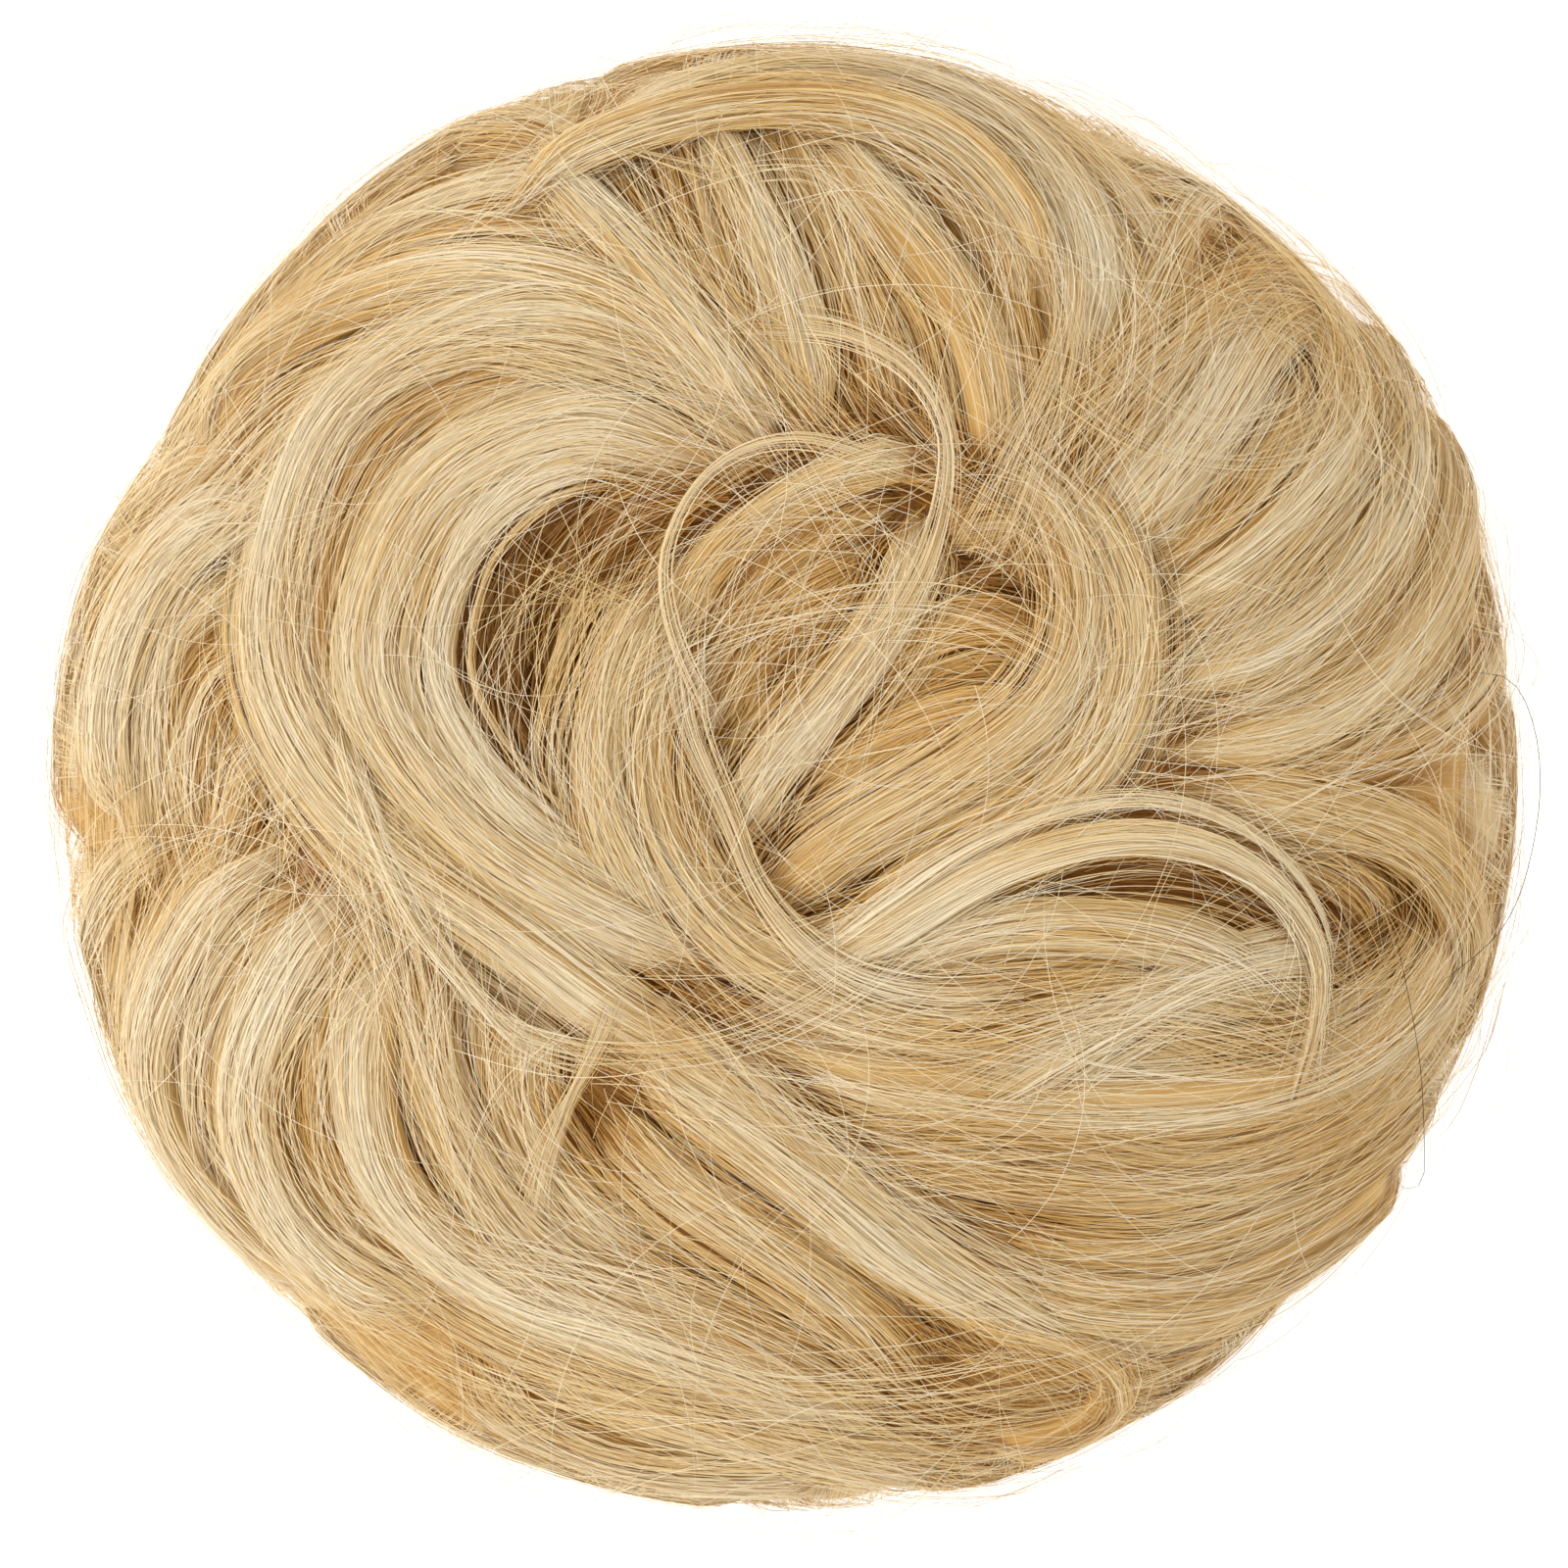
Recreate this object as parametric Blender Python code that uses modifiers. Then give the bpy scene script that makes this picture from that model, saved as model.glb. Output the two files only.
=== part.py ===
"""A messy top knot hairpiece: looped locks of hair on a padded ring, worn over an elastic band.

Units are metres in Blender; the sizes below are millimetres and are converted by MM. The piece lies on
its underside at z = 0 with the wearer's side down, +Z up through the crown and +Y towards its top edge.
"""

import math
from dataclasses import dataclass

import bmesh
import bpy
from mathutils import Matrix, Vector

MM = 0.001

# The rounded outline that the outermost locks reach
OUTLINE_RADIUS = 78.5
WAIST_HEIGHT = 26.0
CROWN_RISE = 37.0
UNDERSIDE_DROP = 33.0
UNDERSIDE_FULLNESS = 0.6
CROWN_DIP = 6.0
CROWN_DIP_RADIUS = 20.0

# The padded body of hair under the locks
BODY_INSET = 7.0
TURN_STEPS = 36
TRIM_DEPTH = 4.0
SKIN_VOXEL = 1.0
SKIN_SHARE = 0.048
BODY_ARC_POINTS = 8
BODY_LEAN_DEG = 146.0

# The dark opening in the crown, left of the middle, that the swirl runs round
SCOOP_CENTRE = (-22.0, 14.0, 58.0)
SCOOP_SIZE = (19.0, 27.0, 27.0)

# The bell-shaped hollow that takes the wearer's own bun, and the elastic band in its mouth
MOUTH_RADIUS = 21.0
HOLLOW_RADIUS = 23.0
HOLLOW_TOP = 33.0
HOLLOW_SHOULDER = 25.0
ELASTIC_RING_RADIUS = 23.5
ELASTIC_THICKNESS = 4.6
ELASTIC_HEIGHT = 5.2
SEAT_GAP = 0.3

# How locks are shaped
LAYER_DEPTH = (7.0, 4.6, 2.4, 0.6)
LOCK_CORNERS_DEG = (-90.0, 8.0, 62.0, 118.0, 172.0)
SECTION_SPACING = 11.5
END_SHARE = 0.16
END_SINK = 4.5
TIP_SCALE = 0.3


@dataclass(frozen=True)
class Lock:
    """One lock of hair: its width, thickness and layer, and the route of its middle seen from above.

    A route point further out than OUTLINE_RADIUS lies that much further down the side.
    """

    name: str
    width: float
    thick: float
    layer: int
    route: tuple
    free_end: bool = False


LOCKS = (
    # The big swirl round the left of the crown
    Lock("swirl_crest", 7, 5, 2, ((0, 30), (-13, 46), (-30, 51), (-46, 48), (-57, 41), (-64, 29))),
    Lock("swirl_outer", 7, 6, 2, ((1, 31), (-13, 44), (-30, 46), (-45, 38), (-51, 24), (-51, 9),
                                  (-42, -5), (-28, -15), (-15, -25), (2, -33))),
    Lock("swirl_trough", 8, 5, 1, ((-8, 38), (-22, 41), (-37, 37), (-45, 25), (-45, 10), (-36, -5), (-22, -18))),
    Lock("swirl_middle", 8, 6, 2, ((-1, 31), (-11, 34), (-20, 36), (-33, 31), (-40, 20), (-41, 8),
                                   (-32, -5), (-18, -14), (0, -21))),
    Lock("swirl_inner", 4, 4, 2, ((-13, 30), (-21, 32), (-30, 26), (-34, 17), (-34, 8), (-27, -3), (-17, -10))),
    Lock("hollow_floor", 9, 5, 0, ((-17, 25), (-22, 14), (-25, 4), (-20, -6), (-11, -12))),
    Lock("hollow_side", 7, 5, 0, ((-24, 27), (-29, 18), (-29, 7), (-23, -3))),
    # The crossed locks in the middle of the crown
    Lock("eye_upper", 5, 5, 2, ((16, 33), (6, 31), (-3, 26), (-9, 20), (-12, 12))),
    Lock("eye_middle", 6, 5, 1, ((13, 29), (4, 26), (-5, 19), (-10, 10))),
    Lock("eye_lower", 7, 5, 1, ((11, 23), (2, 19), (-5, 12), (-9, 3))),
    Lock("eye_deep", 8, 5, 0, ((9, 16), (1, 10), (-6, 2), (-9, -8))),
    Lock("centre_sweep", 6.5, 5, 2, ((14, 28), (12, 18), (5, 8), (-2, 0), (-7, -9))),
    Lock("centre_arc", 6, 5, 2, ((17, 33), (25, 30), (30, 19), (27, 8), (17, 0), (4, -8), (-5, -16))),
    Lock("centre_arc_outer", 6.5, 5, 2, ((24, 34), (32, 24), (35, 12), (30, 0), (18, -8), (4, -16))),
    Lock("centre_fold_upper", 6, 5, 1, ((29, 18), (24, 25), (15, 25))),
    Lock("centre_fold_middle", 6, 5, 1, ((29, 13), (20, 16), (11, 13), (6, 7))),
    Lock("centre_fold_lower", 7, 5, 1, ((27, 7), (17, 7), (7, 2), (0, -4))),
    Lock("under_arc", 7, 5, 1, ((31, -2), (20, -10), (8, -16), (-4, -19))),
    Lock("left_fall_outer", 7, 5, 2, ((-12, 21), (-19, 13), (-21.5, 1), (-18, -9), (-10, -17))),
    Lock("left_fall_inner", 6.5, 5, 2, ((-11, 16), (-16, 5), (-14, -7), (-5, -17), (8, -22))),
    # Locks that fan down from the top edge into the crown
    Lock("crest_top", 6, 5, 1, ((-26, 66), (-15, 72), (0, 73.5), (15, 71), (28, 64), (37, 54), (40, 44))),
    Lock("crest_inner", 6.5, 5, 2, ((-23, 61), (-13, 67), (2, 71), (17, 68), (27, 60), (31, 49), (29, 38))),
    Lock("crest_low", 6, 5, 1, ((-17, 61), (-7, 66), (6, 67), (16, 63), (22, 54), (23, 44))),
    Lock("crest_right", 8, 5, 1, ((18, 65), (29, 57), (35, 46), (33, 34))),
    Lock("fan_left", 6, 5, 1, ((-20, 62), (-15, 53), (-8, 43), (1, 32))),
    Lock("fan_left_inner", 5, 5, 2, ((-15, 61), (-10, 53), (-4, 43), (2, 33))),
    Lock("fan_middle", 7, 5, 1, ((-5, 64), (-3, 54), (0, 44), (5, 33))),
    Lock("fan_middle_right", 6, 5, 2, ((2, 65), (2.5, 55), (3, 46), (6, 36))),
    Lock("fan_right", 5, 5, 2, ((4, 62), (10, 55), (17, 49), (21, 39), (22, 29))),
    Lock("fan_right_outer", 7, 5, 1, ((8, 65), (17, 58), (22, 48), (24, 36), (25, 26))),
    Lock("fan_right_edge", 5, 5, 2, ((32, 50), (29, 41), (25, 29))),
    # The left edge and the upper left
    Lock("brow_outer", 8, 6, 1, ((-16, 65), (-30, 65), (-43, 59), (-54, 49), (-62, 36), (-70, 26))),
    Lock("brow_inner", 7, 5, 1, ((-15, 59), (-28, 59), (-42, 54), (-53, 45), (-60, 34))),
    Lock("brow_low", 5, 4, 1, ((-13, 52), (-26, 54), (-40, 52), (-51, 45))),
    Lock("cheek_outer", 7, 6, 1, ((-51, 35), (-61, 33), (-68, 24), (-72, 12), (-73, -1), (-71, -12))),
    Lock("cheek_second", 6, 5, 2, ((-51, 28), (-60, 25), (-66, 15), (-68, 4), (-66, -7))),
    Lock("cheek_third", 6, 5, 1, ((-51, 21), (-58, 17), (-62, 8), (-63, -3), (-62, -12))),
    Lock("cheek_fourth", 6, 5, 1, ((-51, 14), (-57, 10), (-59, 2), (-59, -8))),
    Lock("cheek_inner", 7, 5, 1, ((-49, 6), (-54, 2), (-56, -7), (-61, -14))),
    # The lower left
    Lock("jaw_outer", 6, 5, 1, ((-56, -3), (-66, -8), (-71, -20), (-69, -31), (-62, -41), (-54, -50))),
    Lock("jaw_second", 6, 5, 2, ((-49, -5), (-58, -12), (-64, -25), (-62, -36), (-54, -47), (-44, -56))),
    Lock("jaw_third", 7, 5, 1, ((-46, -9), (-55, -17), (-58, -28), (-56, -40), (-48, -51))),
    Lock("jaw_fourth", 7, 5, 2, ((-43, -9), (-51, -22), (-54, -33), (-50, -45), (-42, -52), (-32, -55))),
    Lock("jaw_fifth", 8, 5, 1, ((-38, -10), (-46, -24), (-47, -36), (-41, -46), (-30, -53))),
    Lock("jaw_inner", 7, 5, 2, ((-38, -12), (-42, -26), (-40, -40), (-30, -50), (-16, -54), (-2, -56))),
    Lock("lower_fall", 9, 5, 1, ((-34, -14), (-35, -27), (-30, -39), (-20, -49), (-6, -55))),
    Lock("side_tail", 3.2, 4, 3, ((-40, -1), (-37, -11), (-33, -19), (-27, -25)), True),
    Lock("short_tail", 4.5, 4, 2, ((-18, -23), (-21, -29), (-24, -35), (-25, -41)), True),
    Lock("inner_fall", 8, 5, 1, ((-25, -20), (-27, -30), (-22, -41), (-12, -50))),
    Lock("diagonal_upper", 6.5, 6, 2, ((-18, -25), (-8, -31), (4, -40), (14, -48), (27, -54), (36, -56))),
    Lock("diagonal_lower", 8, 5, 1, ((-22, -31), (-12, -41), (0, -49), (9, -56), (15, -64))),
    Lock("diagonal_third", 8, 5, 1, ((-20, -48), (-8, -54), (3, -60), (12, -67))),
    Lock("chin_outer", 7, 5, 1, ((-54, -48), (-46, -56), (-36, -64), (-24, -70), (-10, -73), (3, -74))),
    Lock("chin_second", 8, 5, 1, ((-35, -56), (-29, -63), (-18, -68), (-5, -70), (9, -70))),
    Lock("chin_inner", 8, 5, 1, ((-27, -54), (-17, -61), (-4, -65), (9, -68), (17, -70))),
    # The lower right
    Lock("arch", 3.6, 4, 3, ((0, -21), (10, -15.5), (22, -8.5), (36, -5.5), (48, -9.5), (54, -19), (51, -33)), True),
    Lock("arch_under", 5, 5, 2, ((6, -20), (18, -15), (32, -14.5), (44, -17.5), (52, -25))),
    Lock("oblique", 6, 5, 2, ((22, -31), (31, -26), (40, -21), (50, -18), (58, -19))),
    Lock("rung_upper", 7, 5, 1, ((8, -22), (20, -20), (32, -19), (42, -21))),
    Lock("rung_middle", 7, 5, 1, ((-4, -24), (10, -26), (24, -26), (36, -26), (50, -26))),
    Lock("band_upper", 7, 5, 2, ((-4, -27), (10, -30), (25, -32.5), (42, -32.5), (56, -29), (66, -20), (71, -7))),
    Lock("band_second", 8, 5, 1, ((2, -33), (16, -38.5), (32, -41), (46, -39.5), (59, -32.5), (68, -22))),
    Lock("band_third", 8, 5, 1, ((14, -44), (27, -48), (41, -48), (54, -43.5), (63, -35), (70, -24))),
    Lock("band_fourth", 7, 5, 2, ((19, -50), (32, -53), (46, -52), (57, -46), (65, -36))),
    Lock("hook", 5, 5, 2, ((16, -54), (27, -56), (35, -58), (36, -62), (29, -65))),
    Lock("edge_low_right", 8, 5, 1, ((28, -64), (40, -61), (50, -56.5), (59, -49), (66, -39))),
    Lock("edge_bottom", 8, 5, 1, ((10, -69), (22, -70), (33, -67), (44, -61))),
    Lock("turn_outer", 6, 5, 2, ((40, -1), (53, -3), (64, -7), (69, -16), (66, -27))),
    Lock("turn_inner", 6, 5, 1, ((36, -3), (48, -6), (57, -10), (61, -17))),
    Lock("edge_right", 6, 5, 1, ((69, 14), (73, 2), (73, -9), (70, -20), (64, -31))),
    # The parallel arcs on the right, from the lowest to the highest
    Lock("arc_first", 6, 5, 1, ((40, -1), (52, 0), (63, 4), (70, 11), (72, 21))),
    Lock("arc_second", 6, 5, 2, ((38, 2.5), (50, 4), (60, 10), (66, 19), (68, 28))),
    Lock("arc_third", 6, 5, 1, ((37, 5.5), (48, 8), (58, 15), (64, 24), (66, 34))),
    Lock("arc_fourth", 6, 5, 2, ((36, 8.5), (47, 12), (56, 19), (62, 29), (62, 38))),
    Lock("arc_fifth", 5.5, 5, 1, ((36, 12), (46, 17), (55, 24), (60, 33), (59, 41))),
    Lock("arc_sixth", 6, 5, 2, ((35, 15.5), (45, 21), (53, 29), (57, 37), (55, 44))),
    Lock("arc_seventh", 7, 5, 1, ((34, 19.5), (43, 27), (49, 35), (53, 43))),
    Lock("arc_eighth", 7.5, 5, 2, ((31, 22), (38, 30), (44, 38), (49, 46), (55, 48))),
    Lock("arc_ninth", 7, 5, 1, ((29, 25), (35, 33), (41, 42), (46, 50), (53, 52))),
    Lock("arc_tenth", 6, 5, 1, ((27, 29), (32, 38), (37, 48), (42, 57), (50, 60))),
    Lock("lobe_top_right", 8, 5, 1, ((30, 62), (41, 59), (50, 53), (57, 45), (64, 36))),
    Lock("edge_top_right", 7, 5, 1, ((52, 50), (60, 44), (66, 33), (70, 20), (73, 8))),
)

# Rim locks, all round, that tuck from the widest part down under the piece
RIM_LOCKS = 22
RIM_LOCK_WIDTH = 15.0
RIM_LOCK_THICK = 6.0
RIM_START_REACH = -7.0
RIM_END_REACH = 34.0
RIM_SWEEP_DEG = 26.0


def outline_surface(x, y, depth):
    """Point and outward normal, this deep under the outline, for a place seen from above, in millimetres."""
    reach = math.hypot(x, y)
    turn = math.atan2(y, x)
    radius = OUTLINE_RADIUS - depth
    if reach <= radius:
        lean = math.asin(reach / radius)
    else:
        lean = math.pi / 2 + (reach - radius) / UNDERSIDE_DROP
    point, normal = leaned_point(turn, lean, depth)
    return point, normal


def leaned_point(turn, lean, depth):
    """Point and outward normal at a turn round Z and a lean away from it, both in radians."""
    radius = OUTLINE_RADIUS - depth
    rise = (CROWN_RISE if lean < math.pi / 2 else UNDERSIDE_DROP) - depth
    outward = Vector((math.cos(turn), math.sin(turn), 0))
    fullness = 1.0 if lean < math.pi / 2 else UNDERSIDE_FULLNESS
    point = outward * radius * max(math.sin(lean), 0.0) ** fullness
    point.z = WAIST_HEIGHT + rise * math.cos(lean)
    if lean < math.pi / 2:
        point.z -= CROWN_DIP * math.exp(-((radius * math.sin(lean) / CROWN_DIP_RADIUS) ** 2))
    normal = outward * math.sin(lean) / radius
    normal.z = math.cos(lean) / rise
    return point, normal.normalized()


def smooth_curve(points, spacing):
    """Points along a Catmull-Rom curve through the given ones, with about this spacing."""
    ends = [2 * points[0] - points[1], *points, 2 * points[-1] - points[-2]]
    fine = []
    for before, start, end, after in zip(ends, ends[1:], ends[2:], ends[3:]):
        for step in range(8):
            t = step / 8
            fine.append(0.5 * (2 * start + (end - before) * t
                               + (2 * before - 5 * start + 4 * end - after) * t * t
                               + (3 * start - before - 3 * end + after) * t ** 3))
    fine.append(points[-1].copy())
    travelled = [0.0]
    for a, b in zip(fine, fine[1:]):
        travelled.append(travelled[-1] + (b - a).length)
    count = max(3, round(travelled[-1] / spacing))
    curve = []
    for n in range(count + 1):
        wanted = travelled[-1] * n / count
        k = max(i for i in range(len(fine)) if travelled[i] <= wanted + 1e-9)
        if k == len(fine) - 1:
            curve.append(fine[-1].copy())
            continue
        share = (wanted - travelled[k]) / max(travelled[k + 1] - travelled[k], 1e-9)
        curve.append(fine[k].lerp(fine[k + 1], share))
    return curve


def ease(share):
    """0 at 0 and 1 at 1, level at both ends."""
    share = min(max(share, 0.0), 1.0)
    return share * share * (3 - 2 * share)


def lock_sections(lock):
    """Centre, normal, width and thickness of each section along a lock, in millimetres."""
    depth = LAYER_DEPTH[lock.layer] + lock.thick / 2 - LAYER_DEPTH[-1]
    placed = [outline_surface(x, y, depth)[0] for x, y in lock.route]
    curve = smooth_curve(placed, SECTION_SPACING)
    sections = []
    last = len(curve) - 1
    for i, centre in enumerate(curve):
        t = i / last
        height = (centre.z - WAIST_HEIGHT) / (CROWN_RISE if centre.z > WAIST_HEIGHT else UNDERSIDE_DROP)
        normal = Vector((centre.x, centre.y, 0)) / OUTLINE_RADIUS + Vector((0, 0, height))
        normal.normalize()
        swell_start = ease(t / END_SHARE)
        swell_end = ease((1 - t) / END_SHARE)
        end_sink = 0.0 if lock.free_end else END_SINK
        sink = END_SINK * (1 - swell_start) + end_sink * (1 - swell_end)
        scale = TIP_SCALE + (1 - TIP_SCALE) * swell_start * swell_end
        sections.append((centre - normal * sink, normal, lock.width * scale, lock.thick * (0.5 + scale / 2)))
    return sections


def lock_mesh(name, sections):
    """A closed loft through elliptical sections, each square to the lock and lying on its normal."""
    mesh = bmesh.new()
    rings = []
    for i, (centre, normal, width, thick) in enumerate(sections):
        ahead = sections[min(i + 1, len(sections) - 1)][0] - sections[max(i - 1, 0)][0]
        ahead.normalize()
        side = ahead.cross(normal).normalized()
        up = side.cross(ahead)
        ring = []
        for corner in LOCK_CORNERS_DEG:
            angle = math.radians(corner)
            offset = side * (math.cos(angle) * width / 2) + up * (math.sin(angle) * thick / 2)
            ring.append(mesh.verts.new((centre + offset) * MM))
        rings.append(ring)
    corners = len(LOCK_CORNERS_DEG)
    for ring, following in zip(rings, rings[1:]):
        for k in range(corners):
            after = (k + 1) % corners
            mesh.faces.new((ring[k], ring[after], following[after], following[k]))
    mesh.faces.new(rings[0])
    mesh.faces.new(rings[-1])
    bmesh.ops.recalc_face_normals(mesh, faces=mesh.faces)
    data = bpy.data.meshes.new(name)
    mesh.to_mesh(data)
    mesh.free()
    return data


def clear_scene():
    """Removes every object of the open scene."""
    for obj in list(bpy.data.objects):
        bpy.data.objects.remove(obj)


def add_object(name, data, collection, is_cutter=False):
    """Links a new object; a cutter is kept out of the render."""
    obj = bpy.data.objects.new(name, data)
    collection.objects.link(obj)
    if is_cutter:
        obj.hide_render = True
        obj.display_type = "WIRE"
    return obj


def new_collection(name):
    """A collection linked to the scene."""
    collection = bpy.data.collections.new(name)
    bpy.context.scene.collection.children.link(collection)
    return collection


def plain_material(name, colour, roughness):
    """A Principled material with one colour."""
    material = bpy.data.materials.new(name)
    material.use_nodes = True
    shader = material.node_tree.nodes["Principled BSDF"]
    shader.inputs["Base Color"].default_value = (*colour, 1)
    shader.inputs["Roughness"].default_value = roughness
    shader.inputs["Metallic"].default_value = 0
    return material


def body_profile():
    """The padded body's half section, from the crown down its outside to below the resting plane."""
    outer = []
    for n in range(BODY_ARC_POINTS + 1):
        point, _ = leaned_point(0, math.radians(BODY_LEAN_DEG * n / BODY_ARC_POINTS), BODY_INSET)
        outer.append((point.x, point.z))
    return [*outer, (outer[-1][0] - 1.0, -TRIM_DEPTH), (0.0, -TRIM_DEPTH)]


def hollow_profile():
    """The hollow's half section: its rounded top, the seat of the elastic band and the mouth."""
    seat_radius = ELASTIC_THICKNESS / 2 + SEAT_GAP
    seat = []
    for n in range(7):
        angle = math.radians(105 - 35 * n)
        seat.append((ELASTIC_RING_RADIUS + seat_radius * math.cos(angle),
                     ELASTIC_HEIGHT + seat_radius * math.sin(angle)))
    return [
        (0.0, HOLLOW_TOP),
        (HOLLOW_RADIUS * 0.72, HOLLOW_TOP - 2.5),
        (HOLLOW_RADIUS, HOLLOW_SHOULDER),
        (HOLLOW_RADIUS, seat[0][1] + 2.0),
        *seat,
        (MOUTH_RADIUS + 1.0, 1.2),
        (MOUTH_RADIUS + 3.5, 0.0),
        (MOUTH_RADIUS + 3.5, -TRIM_DEPTH),
        (0.0, -TRIM_DEPTH),
    ]


def turned(name, profile, collection, is_cutter=False):
    """A profile in the XZ plane turned round Z with a Screw modifier."""
    mesh = bpy.data.meshes.new(name)
    points = [(x * MM, 0, z * MM) for x, z in profile]
    mesh.from_pydata(points, [(i, i + 1) for i in range(len(points) - 1)], [])
    obj = add_object(name, mesh, collection, is_cutter)
    turn = obj.modifiers.new("Turn", "SCREW")
    turn.steps = TURN_STEPS
    turn.render_steps = TURN_STEPS
    turn.use_merge_vertices = True
    turn.merge_threshold = 0.00001
    return obj


def rim_lock(index):
    """One of the plain locks that tuck down under the rim, all leaning the same way."""
    start = 360.0 * index / RIM_LOCKS
    route = []
    for n in range(5):
        share = n / 4
        reach = OUTLINE_RADIUS + RIM_START_REACH + (RIM_END_REACH - RIM_START_REACH) * share
        angle = math.radians(start - RIM_SWEEP_DEG * share)
        route.append((reach * math.cos(angle), reach * math.sin(angle)))
    return Lock(f"rim_{index:02d}", RIM_LOCK_WIDTH, RIM_LOCK_THICK, 1, tuple(route))


def boolean(body, name, operation, cutter):
    """Adds an exact Boolean with one object, or with every object of a collection."""
    change = body.modifiers.new(name, "BOOLEAN")
    change.operation = operation
    change.solver = "EXACT"
    if isinstance(cutter, bpy.types.Collection):
        change.operand_type = "COLLECTION"
        change.collection = cutter
    else:
        change.object = cutter


def keep_outer_skin(body):
    """Applies the body's modifiers and keeps only its outer skin, without the pockets shut in between locks."""
    evaluated = body.evaluated_get(bpy.context.evaluated_depsgraph_get())
    mesh = bmesh.new()
    mesh.from_mesh(evaluated.to_mesh())
    evaluated.to_mesh_clear()
    unseen = set(mesh.faces)
    shells = []
    while unseen:
        waiting = [unseen.pop()]
        shell = list(waiting)
        while waiting:
            for edge in waiting.pop().edges:
                for face in edge.link_faces:
                    if face in unseen:
                        unseen.remove(face)
                        waiting.append(face)
                        shell.append(face)
        shells.append(shell)
    shells.sort(key=len)
    pockets = [face for shell in shells[:-1] for face in shell]
    bmesh.ops.delete(mesh, geom=pockets, context="FACES")
    body.modifiers.clear()
    mesh.to_mesh(body.data)
    mesh.free()


def elastic_ring(collection):
    """The hidden elastic band, a plain round ring seated in the mouth of the hollow."""
    bpy.ops.mesh.primitive_torus_add(
        major_segments=TURN_STEPS,
        minor_segments=8,
        major_radius=ELASTIC_RING_RADIUS * MM,
        minor_radius=ELASTIC_THICKNESS / 2 * MM,
        location=(0, 0, ELASTIC_HEIGHT * MM),
    )
    ring = bpy.context.object
    ring.name = "elastic_band"
    for owner in list(ring.users_collection):
        owner.objects.unlink(ring)
    collection.objects.link(ring)
    return ring


def crown_scoop(collection):
    """An egg-shaped cutter for the dark opening in the crown."""
    bpy.ops.mesh.primitive_ico_sphere_add(
        subdivisions=2,
        radius=MM,
        location=[c * MM for c in SCOOP_CENTRE],
    )
    scoop = bpy.context.object
    scoop.name = "crown_scoop"
    scoop.scale = [size / 2 for size in SCOOP_SIZE]
    for owner in list(scoop.users_collection):
        owner.objects.unlink(scoop)
    collection.objects.link(scoop)
    scoop.hide_render = True
    scoop.display_type = "WIRE"
    return scoop


def floor_cutter(collection):
    """A slab whose top is the resting plane."""
    bpy.ops.mesh.primitive_cube_add(size=1, location=(0, 0, -0.02))
    slab = bpy.context.object
    slab.name = "floor_trim"
    slab.scale = (0.4, 0.4, 0.04)
    for owner in list(slab.users_collection):
        owner.objects.unlink(slab)
    collection.objects.link(slab)
    slab.hide_render = True
    slab.display_type = "WIRE"
    return slab


def main():
    """Builds the hair body with its locks, and the elastic band."""
    clear_scene()
    parts = new_collection("top_knot")
    cutters = new_collection("lock_shapes")
    trims = new_collection("trims")
    hair = plain_material("blonde_hair", (0.80, 0.62, 0.36), 0.45)
    elastic = plain_material("elastic", (0.62, 0.48, 0.30), 0.8)

    body = turned("hair_bun", body_profile(), parts)
    body.data.materials.append(hair)
    rim = [rim_lock(i) for i in range(RIM_LOCKS)]
    for lock in (*LOCKS, *rim):
        add_object(lock.name, lock_mesh(lock.name, lock_sections(lock)), cutters, is_cutter=True)
    boolean(body, "Crown opening", "DIFFERENCE", crown_scoop(trims))
    boolean(body, "Locks", "UNION", cutters)
    skin = body.modifiers.new("Skin", "REMESH")
    skin.mode = "VOXEL"
    skin.voxel_size = SKIN_VOXEL * MM
    coarse = body.modifiers.new("Coarse skin", "DECIMATE")
    coarse.ratio = SKIN_SHARE
    keep_outer_skin(body)
    boolean(body, "Hollow", "DIFFERENCE", turned("hollow_shape", hollow_profile(), trims, is_cutter=True))
    boolean(body, "Resting plane", "DIFFERENCE", floor_cutter(trims))

    ring = elastic_ring(parts)
    ring.data.materials.append(elastic)


main()
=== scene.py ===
"""A messy top knot hairpiece of blonde fibre: combed locks swirled over a padded ring, on an elastic band.

Sizes are in millimetres in the classes below and become metres when a mesh is written. +Z leaves the
crown, +Y points to the edge where the locks fan down into the crown, and the piece lies on z = 0.
"""

import logging
import math
from dataclasses import dataclass, replace
from enum import Enum

import bpy
import numpy as np
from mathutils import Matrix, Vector

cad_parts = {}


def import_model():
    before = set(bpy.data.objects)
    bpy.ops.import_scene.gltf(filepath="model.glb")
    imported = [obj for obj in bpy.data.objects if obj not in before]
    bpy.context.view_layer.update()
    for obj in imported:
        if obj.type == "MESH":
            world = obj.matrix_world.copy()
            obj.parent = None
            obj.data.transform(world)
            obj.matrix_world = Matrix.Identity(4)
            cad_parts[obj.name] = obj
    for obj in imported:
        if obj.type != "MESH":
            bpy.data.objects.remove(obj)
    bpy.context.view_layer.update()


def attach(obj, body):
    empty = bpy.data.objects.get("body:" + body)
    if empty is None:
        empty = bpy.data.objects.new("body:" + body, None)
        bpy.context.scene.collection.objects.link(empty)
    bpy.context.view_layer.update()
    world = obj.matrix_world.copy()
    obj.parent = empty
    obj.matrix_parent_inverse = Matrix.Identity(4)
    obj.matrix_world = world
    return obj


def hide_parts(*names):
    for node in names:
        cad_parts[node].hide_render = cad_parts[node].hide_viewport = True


MM = 0.001
BAKE_MAP = "OFBake"
COMB_MAP = "combing"
Route = tuple[tuple[float, float], ...]

log = logging.getLogger("top_knot")


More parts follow.
